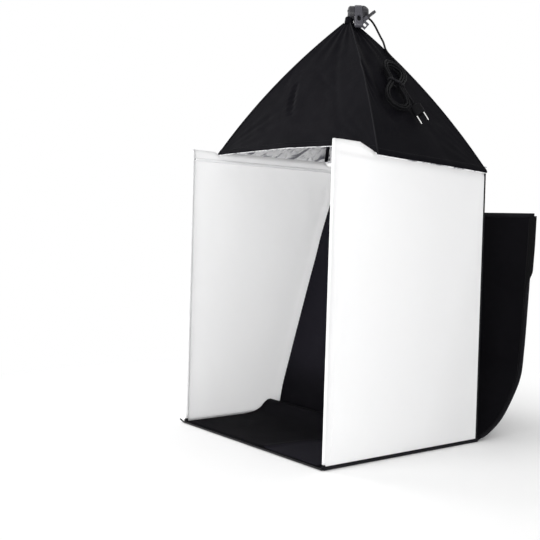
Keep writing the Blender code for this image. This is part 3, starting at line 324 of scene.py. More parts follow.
def make_silver_cloth():
    silver = Finish("silver_cloth", metallic=0.2)
    silver.roughness(silver.noise(40.0, 4.0), 0.24, 0.42)
    # The colour is painted dark along the same streaks that bump the cloth: painted shade and reflection of
    # the crinkles
    streaks = silver.streaks(75.0, 5.0, 38.0)
    silver.colours(silver.span(streaks, 0.37, 0.50), (0.24, 0.24, 0.27), (0.99, 0.99, 1.0))
    silver.bump(streaks, 0.0060, 0.7)
    silver.bump(silver.cells(130.0), 0.0020, 0.5)
    silver.bump(silver.weave(0.0010), 0.00005, 0.3)


def make_plastic(name, colour, rough_low, rough_high, grain, specular):
    plastic = Finish(name, specular=specular)
    plastic.colours(plastic.noise(90.0, 4.0), colour, [part * 1.35 for part in colour])
    plastic.roughness(plastic.noise(240.0), rough_low, rough_high)
    plastic.bump(plastic.noise(grain, 2.0), 0.00008, 0.5)


def make_rod_finish():
    rod = Finish("rod_finish", specular=0.08)
    rod.roughness(rod.noise(300.0), 0.28, 0.45)
    rod.bump(rod.noise(700.0, 2.0), 0.00005, 0.4)
    rod.colours(rod.noise(50.0), (0.008, 0.008, 0.009), (0.016, 0.016, 0.017))


def make_metal(name, colour, rough_low):
    metal = Finish(name, metallic=1.0)
    metal.roughness(metal.noise(500.0, 4.0), rough_low, rough_low + 0.14)
    metal.bump(metal.noise(1800.0, 2.0), 0.00003, 0.4)
    metal.colours(metal.noise(120.0), [part * 0.9 for part in colour], colour)


def make_frosted_glass():
    glass = Finish("frosted_glass")
    for socket, value in (("Subsurface Weight", 0.3), ("Subsurface Scale", 0.01), ("Coat Weight", 0.5)):
        glass.set(socket, value)
    glass.roughness(glass.noise(400.0), 0.25, 0.38)
    glass.colours(glass.noise(60.0), (0.93, 0.93, 0.91), (0.97, 0.97, 0.95))


make_black_nylon()
make_felt("black_felt", (0.0035, 0.0034, 0.0042), (0.0085, 0.0082, 0.010))
make_felt("panel_felt", (0.0026, 0.0025, 0.0034), (0.0066, 0.0062, 0.0080))
# Backdrop felt: its lighter colour past the crease and on the upright part is a painted sheen and painted
# light
make_felt("sheen_painted_felt", (0.0033, 0.0031, 0.0043), (0.0105, 0.0098, 0.0138))
make_black_binding()
make_loop_tape()
make_white_nylon()
make_white_tape()
make_silver_cloth()
make_plastic("dark_plastic", (0.022, 0.0215, 0.025), 0.34, 0.48, 2200.0, 0.35)
make_plastic("grey_plastic", (0.046, 0.045, 0.054), 0.32, 0.46, 2200.0, 0.35)
make_plastic("black_rubber", (0.0036, 0.0036, 0.0043), 0.5, 0.64, 3000.0, 0.07)
make_rod_finish()
make_metal("steel", (0.68, 0.68, 0.70), 0.22)
make_metal("brass", (0.80, 0.62, 0.28), 0.25)
make_metal("blade_metal", (0.90, 0.90, 0.88), 0.16)
make_frosted_glass()


# Meshes
def add_piece(name, data, finish, body):
    data.materials.append(finishes[finish])
    thing = link_object(name, data)
    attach(thing, body)
    return thing


def add_mesh(name, points, faces, finish, uv=None, body="tent"):
    mesh = bpy.data.meshes.new(name)
    mesh.from_pydata([tuple(p) for p in points], [], faces)
    if uv:
        layer = mesh.uv_layers.new(name="UVMap")
        for loop in mesh.loops:
            layer.data[loop.index].uv = uv[loop.vertex_index]
    mesh.shade_smooth()
    return add_piece(name, mesh, finish, body)


def sharpen(thing, degrees):
    """Keep edges steeper than this sharp in the smooth shading."""
    thing.data.set_sharp_from_angle(angle=math.radians(degrees))


def grid_faces(rows, columns, closed=False):
    faces = []
    for low in range(0, (rows - 1) * columns, columns):
        for column in range(columns if closed else columns - 1):
            after = (column + 1) % columns
            faces.append((low + column, low + after, low + columns + after, low + columns + column))
    return faces


def end_faces(count, size):
    """Faces that close the first and the last ring of a solid with this many points."""
    return [tuple(range(size - 1, -1, -1)), tuple(range(count - size, count))]


def add_sheet(name, grid, finish, thickness, closed=False, flip=False, body="tent"):
    """Cloth from rows of points on its face, thickened behind it; UVs are in metres."""
    uv, up = [], [0.0] * len(grid[0])
    for before, row in zip(grid[:1] + grid, grid):
        along = 0.0
        for column, point in enumerate(row):
            along += (point - row[max(column - 1, 0)]).length
            up[column] += (point - before[column]).length
            uv.append((along, up[column]))
    faces = grid_faces(len(grid), len(grid[0]), closed)
    if flip:
        faces = [face[::-1] for face in faces]
    thing = add_mesh(name, [point for row in grid for point in row], faces, finish, uv, body)
    step = thing.modifiers.new("thickness", "SOLIDIFY")
    step.thickness = thickness
    step.offset = -1.0
    return thing


def add_sewn_tube(name, path, axes, radius, finish, count, thickness):
    """Tube of cloth; its radius is a function of the ring's number, its height and the angle."""
    grid = [[centre + turned(*pair, angle) * radius(index, centre.z, angle) for angle in angles(count)]
            for index, (centre, pair) in enumerate(zip(path, axes))]
    return add_sheet(name, grid, finish, thickness, closed=True)


def hung_grid(curve, normals, half_width, columns, lift):
    """Rows of points across a curve, lifted off it by a function of x, the share along it and its point."""
    shares = steps(0.0, 1.0, len(curve) - 1)
    return [[Vector((x, point.y, point.z)) + normal * lift(x, share, point)
             for x in steps(-half_width, half_width, columns)]
            for share, point, normal in zip(shares, curve, normals)]


def add_section(name, path, sides, ups, section, finish, body="tent", closed=False):
    """Solid with a closed 2D section carried along a path, on its own side and up axes."""
    points = [place + side * a + up * b for place, side, up in zip(path, sides, ups) for a, b in section]
    count = len(section)
    faces = grid_faces(len(path), count, True)
    if closed:
        last = len(points) - count
        faces += [(last + i, last + (i + 1) % count, (i + 1) % count, i) for i in range(count)]
    else:
        faces += end_faces(len(points), count)
    around = [0.0]
    for a, b in zip(section, section[1:]):
        around.append(around[-1] + math.dist(a, b))
    reach, uv = 0.0, []
    for before, place in zip(path[:1] + path, path):
        reach += (place - before).length
        uv += [(width, reach) for width in around]
    return add_mesh(name, points, faces, finish, uv, body)


def add_tube(name, path, radius, finish, resolution):
    curve = bpy.data.curves.new(name, "CURVE")
    curve.dimensions = "3D"
    curve.bevel_depth = radius
    curve.bevel_resolution = resolution
    curve.use_fill_caps = True
    route = curve.splines.new("POLY")
    route.points.add(len(path) - 1)
    for point, place in zip(route.points, path):
        point.co = (*place, 1.0)
    route.use_smooth = True
    return add_piece(name, curve, finish, "tent")


stitch_pitch = 0.0034
stitch_length = 0.0024
stitch_section = ((-1, -0.25), (1, -0.25), (0.6, 1.05), (-0.6, 1.05))


def add_stitching(name, seams, finish, body="tent", width=0.00034):
    """Rows of short raised threads; each seam is a path and the normal of the cloth under it."""
    points, faces = [], []
    for path, normal in seams:
        marks = spread_evenly(path, max(2, round(path_length(path) / stitch_pitch) + 1))
        for a, b in zip(marks, marks[1:]):
            along = (b - a).normalized()
            side = along.cross(normal).normalized()
            up = side.cross(along).normalized()
            first = len(points)
            for end in (-0.5, 0.5):
                middle = blend(a, b, 0.5) + along * (stitch_length * end)
                points += [middle + (side * across + up * high) * width for across, high in stitch_section]
            for face in end_faces(8, 4) + grid_faces(2, 4, True):
                faces.append(tuple(first + corner for corner in face[::-1]))
    return add_mesh(name, points, faces, finish, None, body)


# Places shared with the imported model
front, back = -0.1775, 0.1775
side_x = 0.200
touch_gap = 0.0003
pole_inset = 0.003
lamp_turn = math.radians(52.8)
hood_axis_back = 0.0285
tip_height = 0.7355
tip_radius = 0.0082
tilt_rise = 0.0166
rib_bow = 0.0127
hem_arch = 0.0091
hem_arch_ends = (0.95, 0.35)
hood_half = 0.2055
hood_corners = (
    Vector((-hood_half, front + 0.068, 0.5005)), Vector((hood_half, front + 0.090, 0.4938)),
    Vector((hood_half, back - 0.0072, 0.4728)), Vector((-hood_half, back - 0.020, 0.494)),
)
corner_names = ("front_left", "front_right", "back_right", "back_left")
tip_centre = Vector((0.0, hood_axis_back, tip_height))


def lamp_to_world(point):
    """Place in the lamp head's own axes, from its tilt centre."""
    turn = Matrix.Rotation(lamp_turn, 3, "Z")
    return turn @ (Vector(point) + z_axis * (tip_height + tilt_rise)) + y_axis * hood_axis_back


def face_normal(face):
    a, b = hood_corners[face], hood_corners[(face + 1) % 4]
    normal = (b - a).cross(tip_centre - a).normalized()
    return normal if normal.z > 0 else -normal


face_normals = [face_normal(face) for face in range(4)]


def ridge_frame(corner):
    """Foot, tip, bow and inward direction of the ridge over a corner."""
    one, other = face_normals[corner - 1], face_normals[corner]
    foot = hood_corners[corner]
    away = foot - tip_centre
    away.z = 0.0
    tip = tip_centre + away.normalized() * tip_radius
    chord = (tip - foot).normalized()
    bow = (z_axis - chord * chord.z).normalized()
    return foot, tip, bow, (one + other) / (1 + one.dot(other))


ridge_frames = [ridge_frame(corner) for corner in range(4)]


def ridge_point(corner, depth, share):
    foot, tip, bow, outward = ridge_frames[corner % 4]
    return blend(foot, tip, share) + bow * (rib_bow * 4 * share * (1 - share)) - outward * depth


def face_point(face, depth, across, up):
    return blend(ridge_point(face, depth, up), ridge_point(face + 1, depth, up), across)


hem_hang_front, hem_hang_back = 0.0066, 0.0030


def hem_hang(face, across):
    """How far the hem hangs below its corners: the right side's, eased off round the next two faces."""
    if face == 0:
        return hem_hang_front * ease(across, 0.72, 1.0)
    if face == 1:
        return blend(hem_hang_front, hem_hang_back, across)
    return hem_hang_back * (1 - ease(across, 0.0, 0.3)) if face == 2 else 0.0


def hem_share(face, across):
    """How far up the face its hem lies: arched in front and behind, hanging at the right side."""
    height = tip_height - (hood_corners[face].z + hood_corners[(face + 1) % 4].z) / 2
    hang = hem_hang(face, across) / height
    if face % 2:
        return -hang
    near, far = hem_arch_ends
    peak = near / (near + far)
    rise = (max(across, 0.0) / peak)**near * (max(1 - across, 0.0) / (1 - peak))**far
    return hem_arch / height * rise - hang


# Cord: its hank lies on the hood's right face, in a frame of its own
cord_radius = 0.0018
diameter = 2 * cord_radius
tie_thickness = 0.0008
hank_place = (0.446, 0.479)
hank_turn = math.radians(27.0)
hank_turns = 4
hank_points_per_turn = 24
hank_step = 0.0046
hank_start_share = 1.2
hank_end_share = 7.5
hank_low = 2 * touch_gap + tie_thickness + cord_radius
hank_waist_half = 0.0028
hank_upper = (0.0490, 0.0115, 0.0160)
hank_lower = (0.0560, 0.0215, 0.0125)
hank_outline_shares = (
    (-0.965, 0.54), (-0.85, 0.92), (-0.67, 1.0), (-0.46, 0.78), (-0.22, 0.24),
    (0.0, 0.0), (0.18, 0.19), (0.40, 0.70), (0.63, 1.0), (0.84, 0.87), (0.965, 0.48),
)


def hank_frame():
    across, up = hank_place
    origin = face_point(1, 0.0, across, up)
    side_step = (face_point(1, 0.0, 1.0, up) - origin).normalized()
    down_step = (face_point(1, 0.0, across, up - 0.05) - origin).normalized()
    normal = down_step.cross(side_step).normalized()
    down = side_step.cross(normal).normalized()
    lengthwise = turned(down, -side_step, hank_turn)
    drops = []
    for share in (up - 0.25, up + 0.2):
        step = face_point(1, 0.0, across, share) - origin
        drops.append(-step.dot(normal) / step.length_squared)
    return origin, lengthwise, normal.cross(lengthwise).normalized(), normal, sum(drops) / len(drops)


hank_origin, hank_x, hank_y, hank_z, hank_bend = hank_frame()


def on_hood(x, y, height):
    """Place in the hank's frame, bent along with the hood's face."""
    return hank_origin + hank_x * x + hank_y * y + hank_z * (height - hank_bend * x * x)


def hank_outline():
    """The hank's loop from its top, down one side and up the other."""
    sides = []
    for place in (1, 2):
        side = []
        for length_share, width_share in hank_outline_shares:
            sizes = hank_upper if length_share < 0 else hank_lower
            half = blend(hank_waist_half, sizes[place], width_share)
            side.append(Vector((sizes[0] * length_share, half if place == 1 else -half)))
        sides.append(side)
    return [Vector((-hank_upper[0], 0.0)), *sides[0], Vector((hank_lower[0], 0.0)), *sides[1][::-1]]


loop_outline = hank_outline()


def hank_point(turns):
    count = len(loop_outline)
    place = turns * count
    index = math.floor(place)
    around = [loop_outline[(index + step) % count] for step in (-1, 0, 1, 2)]
    point, slope = spline(*around, place - index)
    slope.normalize()
    half = hank_turns / 2
    point += Vector((-slope.y, slope.x)) * (hank_step * abs(half - turns))
    return on_hood(*point, hank_low + hank_step * ease(turns, half - 0.25, half + 0.25))


def hank_path():
    first = hank_start_share / hank_points_per_turn
    last = hank_turns + hank_end_share / hank_points_per_turn
    count = round((last - first) * hank_points_per_turn)
    points = [hank_point(turns) for turns in steps(first, last, count)]
    start = points[0] + (points[0] - points[1]).normalized() * diameter
    return [start, *points, points[-1] + (points[-1] - points[-2]).normalized() * diameter]


outlet_direction = turned(x_axis, -z_axis, math.radians(25.0))
relief_start = Vector((0.008 + touch_gap, 0.0225, 0.0100))
relief_length = 0.0215
lead_free_places = (
    (0.0415, 0.0210, -0.0075), (0.0480, 0.0185, -0.0170), (0.0535, 0.0130, -0.0290),
    (0.0580, 0.0060, -0.0400), (0.0620, -0.0020, -0.0500),
)
lead_hood_places = ((-0.0967, -0.0140, 0.0026), (-0.0815, -0.0008, 0.0028))
plug_start_place = (0.0336, 0.0344, 0.0098)
plug_direction_place = (0.04146, 0.04058, 0.0098)
plug_start = on_hood(*plug_start_place)
plug_direction = (on_hood(*plug_direction_place) - plug_start).normalized()


def cord_path():
    """Lead, hank and tail of the cord, end to end."""
    hank = hank_path()
    tangent = (hank[1] - hank[0]).normalized()
    cord_exit = relief_start + outlet_direction * (relief_length + touch_gap)
    free = [cord_exit + outlet_direction * (diameter * step) for step in range(3)]
    route = [lamp_to_world(place) for place in (*free, *lead_free_places)]
    route += [on_hood(*place) for place in lead_hood_places]
    join = hank[0] - tangent * touch_gap
    route += [join - tangent * (diameter * step) for step in (3, 1, 0)]
    leave = (hank[-1] - hank[-2]).normalized()
    first, end = hank[-1] + leave * touch_gap, plug_start - plug_direction * touch_gap
    tail = smooth_curve([first, first + leave * diameter, end - plug_direction * diameter, end], 10)
    return smooth_curve(route, 44) + hank[1:] + tail[1:]


plug_neck_length = 0.0060
plug_length = 0.0180
plug_half_width = 0.0095
plug_half_height = 0.0058
plug_turn = math.radians(55.0)
plug_end_radius = 0.0034
plug_squareness = 0.72
neck_radius = 0.0027
neck_groove = 0.0005
grip_ridge = 0.00035


def plug_rings():
    """Reach and half sizes of the plug's rings: a grooved neck, a flare and a body with grip ridges."""
    ringed_length, flare_end = plug_neck_length * 0.62, plug_neck_length * 1.15
    rings = []
    for index, share in enumerate(steps(0.0, 1.0, 12)):
        groove = neck_groove if index % 3 == 1 and share < 0.7 else 0.0
        radius = blend(neck_radius, plug_end_radius, share) - groove
        rings.append((ringed_length * share, radius, radius))
    for share in steps(0.0, 1.0, 8)[1:]:
        swell = ease(share)
        rings.append((blend(ringed_length, flare_end, share),
                      blend(plug_end_radius, plug_half_width, swell),
                      blend(plug_end_radius, plug_half_height, swell)))
    for index, share in enumerate(steps(0.0, 1.0, 18)[1:], 1):
        ridge = grip_ridge if 3 <= index <= 13 and index % 2 else 0.0
        rounding = 1 - 0.12 * ease(share, 0.9, 1.0)
        rings.append((blend(flare_end, plug_neck_length + plug_length, share),
                      (plug_half_width - ridge) * rounding, (plug_half_height - ridge * 0.4) * rounding))
    return rings


def add_plug():
    """Moulded plug body with a ringed neck, soft edges and grip ridges on its flanks."""
    side = hank_z.cross(plug_direction).normalized()
    wide = turned(side, plug_direction.cross(side).normalized(), plug_turn)
    thick = plug_direction.cross(wide).normalized()
    sides, rings, points = 40, plug_rings(), []
    for reach, half_width, half_height in rings:
        for angle in angles(sides):
            across, up = squared(angle, plug_squareness)
            points.append(plug_start + plug_direction * reach + wide * (across * half_width)
                          + thick * (up * half_height))
    faces = grid_faces(len(rings), sides, True) + end_faces(len(points), sides)
    body = add_mesh("plug_housing", points, faces, "black_rubber")
    sharpen(body, degrees=50)
    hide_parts("plug_body")
    return body


strap_turns = (2.15, 2.65)
strap_slack = 0.0006
strap_top = hank_low + hank_step + cord_radius + strap_slack
strap_half_width = 0.0027
strap_end_half_width = 0.0024
strap_end_thickness = 0.0007


def add_hank_strap():
    """Soft strap round the hank's waist."""
    left, right = (hank_waist_half + hank_step * turns + cord_radius + strap_slack for turns in strap_turns)
    low = touch_gap + tie_thickness
    middle, corner = (strap_top + low) / 2, (strap_top - low) / 2
    path, ups = [], []
    for angle in angles(64):
        shift = right - corner if math.cos(angle) > 0 else corner - left
        path.append(on_hood(0.0, shift + corner * math.cos(angle), middle + corner * math.sin(angle)))
        ups.append(turned(hank_y, hank_z, angle))
    half = strap_half_width
    section = [(-half, 0.0), (-half * 0.9, 0.0008), (0.0, 0.0010), (half * 0.9, 0.0008), (half, 0.0)]
    strap = add_section("hank_strap", path, repeat(hank_x), ups, section, "black_binding",
                        closed=True)
    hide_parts("hank_tie")
    return strap


def add_hank_strap_end():
    """The strap's free end, lying over the strap."""
    path = []
    for share in steps(0.0, 1.0, 10):
        lift = 0.0012 + 0.0016 * ease(share, 0.5, 1.0)
        path.append(on_hood(0.0008, blend(-0.006, 0.0075, share), strap_top + lift))
    half, thick = strap_end_half_width, strap_end_thickness
    section = [(-half, 0.0), (-half, thick), (half, thick), (half, 0.0)]
    return add_section("hank_strap_end", path, repeat(hank_x), repeat(hank_z), section, "black_binding")


def add_cord():
    path = cord_path()
    cord = add_tube("mains_cord", path, cord_radius, "black_rubber", 5)
    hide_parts("cord_lead", "cord_hank", "cord_tail")
    plug = add_plug()
    straps = add_hank_strap(), add_hank_strap_end()
    for name in ("plug_blade_left", "plug_blade_right"):
        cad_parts[name].data.materials[0] = finishes["blade_metal"]
    tuple(path[0])
    round(path_length(path), 3)


add_cord()


# Hood: each crease has its face, its two ends across and up the face, its depth and its half width
hood_rows = 100
hood_columns = 64
hood_top_share = 0.997
face_length = 0.34
crease_length = 0.33
saddle_depth = 0.0022
broad_fold = 0.0016
fine_fold = 0.0006
tip_pleat = 0.0008
corner_fan = 0.0009
hem_fold_height = 0.0006
hem_fold_range = (0.0105, 0.0125)
coarse_crinkle = 0.0042
fine_crinkle = 0.0020
hood_creases = (
    (0, (0.262, 0.49), (0.376, 0.27), 0.0055, 0.0030), (0, (0.05, 0.62), (0.13, 0.50), 0.0010, 0.0040),
    (0, (0.62, 0.78), (0.80, 0.10), 0.0008, 0.0060), (0, (0.10, 0.20), (0.90, 0.22), 0.0006, 0.0050),
    (0, (0.40, 0.60), (0.70, 0.42), 0.0010, 0.0040), (0, (0.06, 0.10), (0.30, 0.34), 0.0008, 0.0050),
    (1, (0.00, 0.62), (0.131, 0.374), 0.0045, 0.0032), (1, (0.20, 0.82), (0.22, 0.46), 0.0060, 0.0100),
    (1, (0.22, 0.46), (0.25, 0.24), 0.0050, 0.0110), (1, (0.03, 0.47), (0.10, 0.30), 0.0030, 0.0030),
    (1, (0.00, 0.44), (0.06, 0.26), 0.0012, 0.0030), (1, (0.14, 0.36), (0.10, 0.12), 0.0012, 0.0050),
    (1, (0.08, 0.30), (0.92, 0.27), 0.0005, 0.0050), (1, (0.60, 0.40), (0.66, 0.02), 0.0008, 0.0060),
    (2, (0.30, 0.70), (0.45, 0.20), 0.0012, 0.0060), (2, (0.10, 0.30), (0.90, 0.28), 0.0006, 0.0050),
    (3, (0.60, 0.60), (0.40, 0.15), 0.0012, 0.0060), (3, (0.08, 0.28), (0.92, 0.30), 0.0006, 0.0050),
)


def crease_depth(face, across, up, width, spread=0.0):
    """Inward pull of the fold lines near a place on a face."""
    size, total = Vector((width, crease_length)), 0.0
    for on_face, start, end, depth, half in hood_creases:
        if on_face == face:
            first, last, place = (Vector(pair) * size for pair in (start, end, (across, up)))
            line = last - first
            along = min(1.0, max(0.0, (place - first).dot(line) / line.length_squared))
            away = (place - first - line * along).length
            total += depth * math.exp(-(away / (half + spread))**2) * (1 - 0.5 * abs(2 * along - 1))
    return total


def hood_slack(face, across, up, point, width):
    """How far the cloth stands off its flat face: a taut saddle, pleats and folds."""
    inside = math.sin(math.pi * across)
    saddle = -saddle_depth * inside * math.sin(math.pi * min(1.0, up))
    broad = broad_fold * rough(point, 13.0, face * 3.1) * inside
    fine = fine_fold * rough(point, 42.0, face * 5.3) * min(1.0, 3 * inside)
    pulls = tip_pleat * math.sin(across * math.pi * 9 + face)
    pulls *= ease(up, 0.45, 0.9) * (1 - ease(up, 0.93, 1.0))
    for waves, aside in ((26, across), (24, 1 - across)):
        fan = math.sin(waves * math.atan2(up + 0.02, aside + 0.02))
        pulls += corner_fan * fan * (1 - ease(math.hypot(aside, up), 0.05, 0.5))
    return saddle + broad + fine + pulls * inside - crease_depth(face, across, up, width)


def hood_point(face, depth, across, up, extra):
    low_width = (hood_corners[(face + 1) % 4] - hood_corners[face]).length
    width = low_width * (1 - up) + 0.01
    point = face_point(face, depth, across, max(up, 0.0)) + z_axis * (0.25 * min(up, 0.0))
    place = (face, across, up, point, width)
    return point + face_normals[face] * (hood_slack(*place) + extra(*place))


def hood_ring(depth, rows, columns, top_share, extra):
    """Rows of points round the hood, ridge to ridge, with rounded ridges."""
    grid = []
    for share in steps(0.0, 1.0, rows):
        line = []
        for face in range(4):
            for column in range(columns):
                across = 0.5 - 0.5 * math.cos(math.pi * column / columns)
                up = blend(hem_share(face, across), top_share, share)
                line.append(hood_point(face, depth, across, up, extra))
        for _ in range(2):
            means = [(before + after) / 2 for before, after in zip(line[-1:] + line, line[1:] + line[:1])]
            line = [blend(point, mean, 0.5) if (index + 2) % columns <= 4 else point
                    for index, (point, mean) in enumerate(zip(line, means))]
        grid.append(line)
    return grid


def above_hem(face, across, up):
    return (up - hem_share(face, across)) * face_length


def hem_fold(face, across, up, point, width):
    """The turned-up hem stands a little proud."""
    return hem_fold_height * (1 - ease(above_hem(face, across, up), *hem_fold_range))


def lining_crinkle(face, across, up, point, width):
    """Sharp small creases, pressed flat near the ribs and the hem, and clear of the hood's folds."""
    away = min(across, 1 - across) * width
    mask = ease(away, 0.004, 0.018) * ease(above_hem(face, across, up), 0.003, 0.014)
    coarse = abs(rough(point, 48.0, 7.0 + face))
    fine = abs(rough(point, 120.0, 11.0 + face))
    clear = 1.3 * crease_depth(face, across, up, width, 0.013) - crease_depth(face, across, up, width)
    return -(coarse_crinkle * coarse + fine_crinkle * fine) * mask - max(0.0, clear)


hem_seam_up = 0.0095
seam_lift = 0.0001
welt_radius = 0.0011
welt_lift = 0.0002


def hood_seams(grid):
    """The hem's seam and the two ridge seams of each face."""
    for face, normal in enumerate(face_normals):
        low, lift = face * hood_columns, normal * seam_lift
        hem = []
        for column in range(low, low + hood_columns + 1):
            edge, above = (row[column % (4 * hood_columns)] for row in grid[:2])
            hem.append(edge + (above - edge).normalized() * hem_seam_up + lift)
        yield hem, normal
        for start in (2, hood_columns - 2):
            yield [row[low + start] + lift for row in grid[2:-3:2]], normal


def add_hood():
    grid = hood_ring(0.0, hood_rows, hood_columns, hood_top_share, hem_fold)
    cover = add_sheet("hood_cover", grid, "black_nylon", thickness=0.0007, closed=True)
    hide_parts("hood_front", "hood_right", "hood_back", "hood_left")
    pieces = []
    section = [turned(x_axis, y_axis * 0.9, angle).xy * welt_radius for angle in angles(8)]
    for corner, name in enumerate(corner_names):
        outward = ridge_frames[corner][3]
        path = [row[corner * hood_columns] + outward * welt_lift for row in grid]
        up = outward.normalized()
        sides = [along.cross(up).normalized() for along in tangents(path)]
        pieces.append(add_section("hood_welt_" + name, path, sides, repeat(up), section, "black_binding"))
    pieces.append(add_stitching("hood_stitching", hood_seams(grid), "black_binding"))
    return cover, pieces


lining_rows = 70
lining_columns = 44
lining_depth = 0.0011
lining_top_share = 0.86


def add_lining():
    grid = hood_ring(lining_depth, lining_rows, lining_columns, lining_top_share, lining_crinkle)
    lining = add_sheet("reflective_lining", grid, "silver_cloth", thickness=0.0004, closed=True)
    sharpen(lining, degrees=24)
    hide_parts("hood_lining")
    return lining


# Rings of the gathered end: height over the tip, lowest and highest x, and half depth
boot_rings = (
    (-0.0022, -0.0084, 0.0078, 0.0084), (0.0, -0.0081, 0.0076, 0.0086), (0.0024, -0.0077, 0.0074, 0.0094),
    (0.0048, -0.0072, 0.0072, 0.0099), (0.0072, -0.0069, 0.0070, 0.0101), (0.0094, -0.0066, 0.0068, 0.0096),
    (0.0101, -0.0046, 0.0066, 0.0084),
)
boot_squareness = 0.8
boot_pleat = 0.035


def add_hood_boot():
    """Gathered end of the hood's cloth round the lamp head's neck."""
    grid = []
    for high, low_x, high_x, half_y in boot_rings:
        line = []
        for angle in angles(96):
            waves = math.sin(angle * 17 + 3 * math.sin(angle * 2))
            pleat = 1 + boot_pleat * waves * ease(high, -0.002, 0.006)
            x, y = squared(angle, boot_squareness)
            half_x = (high_x - low_x) / 2 * (pleat if x < 0 else min(pleat, 1.0))
            place = ((low_x + high_x) / 2 + half_x * x, half_y * y * pleat, high - tilt_rise)
            line.append(lamp_to_world(place))
        grid.append(line)
    boot = add_sheet("hood_boot", grid, "black_nylon", thickness=0.0005, closed=True)
    smooth = boot.modifiers.new("smooth", "SUBSURF")
    smooth.levels = smooth.render_levels = 1
    return boot


rib_centre_depth = 0.0043 + 3 * touch_gap
channel_radius = 0.00285
channel_pucker = 0.00016
channel_start, channel_second = 0.044, 0.050
channel_step = 0.006
sleeve_top_gap = 0.0012


def channel_size(index, z, angle):
    waves = math.sin(index * 1.7 + 2 * math.sin(index * 0.31))
    return channel_radius + channel_pucker * waves * math.cos(angle)


def add_rib_sleeves():
    """Sewn tubes that hold the ribs under the lining, puckered along their seams."""
    pieces = []
    for corner, name in enumerate(corner_names):
        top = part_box(name + "_rib_sleeve")[1].z - sleeve_top_gap
        path = [ridge_point(corner, rib_centre_depth, channel_start)]
        share = channel_second
        while ridge_point(corner, rib_centre_depth, share).z <= top:
            path.append(ridge_point(corner, rib_centre_depth, share))
            share += channel_step
        axes = []
        for along in tangents(path):
            side = along.cross(z_axis).normalized()
            axes.append((side, side.cross(along).normalized()))
        sleeve = add_sewn_tube(name + "_sewn_channel", path, axes, channel_size, "black_felt",
                               count=14, thickness=0.0004)
        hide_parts(name + "_rib_sleeve")
        pieces.append(sleeve)
    return pieces


board_edge = 0.0011
board_seam_inset = 0.006
board_front_seam_inset = 0.0042


def board_lines(first, last, count):
    """Places of the board's rows or columns, closer together at its soft edges."""
    offsets = (0.0, board_edge * 0.3)
    inner = steps(first + board_edge, last - board_edge, count)
    return [first + offset for offset in offsets] + inner + [last - offset for offset in offsets[::-1]]


def edge_drop(value, first, last):
    away = max(0.0, board_edge - min(value - first, last - value))
    return board_edge - math.sqrt(max(0.0, board_edge**2 - away**2))


def add_floor_board():
    """Cloth-covered board with soft edges."""
    low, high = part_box("floor_panel")
    xs, ys, points = board_lines(low.x, high.x, 40), board_lines(low.y, high.y, 36), []
    for level, way in ((high.z, -1.0), (low.z, 1.0)):
        for y in ys:
            for x in xs:
                fall = max(edge_drop(x, low.x, high.x), edge_drop(y, low.y, high.y))
                dent = 0.0001 * (1 + rough((x, y, level), 30.0, 3.0)) * ease(fall, board_edge, 0.0)
                points.append(Vector((x, y, level + way * (fall + dent))))
    wide, count = len(xs), len(xs) * len(ys)
    top = grid_faces(len(ys), wide)
    faces = top + [tuple(count + corner for corner in face[::-1]) for face in top]
    rim = [*range(wide), *range(2 * wide - 1, count, wide),
           *range(count - 2, count - wide - 1, -1), *range(count - 2 * wide, 0, -wide)]
    faces += [(a, count + a, count + b, b) for a, b in zip(rim, rim[1:] + rim[:1])]
    board = add_mesh("floor_board", points, faces, "black_felt")
    sharpen(board, degrees=60)
    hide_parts("floor_panel")


def add_board_border():
    low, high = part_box("floor_panel")
    left, right = low.x + board_seam_inset, high.x - board_seam_inset
    near, far, first = low.y + board_seam_inset, high.y - board_seam_inset, low.y + board_front_seam_inset
    ends = ((left, near, left, far), (right, near, right, far), (left, first, right, first))
    seams = [(steps(Vector((a, b, high.z)), Vector((c, d, high.z)), 20), z_axis) for a, b, c, d in ends]
    add_stitching("floor_board_stitching", seams, "black_nylon", width=0.0002)


# Tent walls
wall_start_y = front + pole_inset
wall_front_y = wall_start_y + pole_inset + touch_gap
wall_back_y = back - 2 * pole_inset - touch_gap
wall_lift = 0.0001
wing_height = 0.5075
wing_run = 0.0525
lean = 0.005
fold_low = 0.0089
fold_radius = 0.0031
fold_angle = math.radians(216.0)
wall_bow = 0.0022
wall_wave = 0.0014
wall_ripple = 0.0005
wing_fall = 0.002
hem_tuck_run = 0.012
hem_tuck_rise = 0.0053
hem_tuck = 0.0018
wall_seam_inset = 0.0085
wall_seam_low = 0.012
front_seam_top = 0.497
back_seam_top = 0.452
wing_seam_drop = 0.008
cap_radius = 0.00303
cap_end_radius = 0.0001
cap_rise = 0.0014
rail_radius = 0.002
casing_radius = 0.0026
casing_overhang = 0.0008
sleeve_radius = 0.0029
seam_pucker = 0.00012
foot_height = 0.008
band_height = 0.0065
band_thickness = 0.0006
band_seam_height = 0.0050
wall_sides = (("left", -1.0, 0, 3), ("right", 1.0, 1, 2))


def hem_height(near, far, y):
    return blend(near.z, far.z, (y - near.y) / (far.y - near.y))


def wall_top_line(near, far):
    """Top edge of a side wall as (y, z) from front to back."""
    line = [(wall_front_y + lean, wing_height), (front + lean + wing_run, wing_height - wing_fall)]
    for y, rise in ((near.y, -wing_fall), (near.y + hem_tuck_run, hem_tuck_rise),
                    (far.y - hem_tuck_run, hem_tuck_rise), (far.y, -wing_fall)):
        line.append((y, hem_height(near, far, y) + rise))
    return line + [(wall_back_y, line[-1][1])]


def height_on(line, y):
    for (y0, z0), (y1, z1) in zip(line, line[1:]):
        if y <= y1:
            return blend(z0, z1, max(0.0, (y - y0) / (y1 - y0)))
    return line[-1][1]


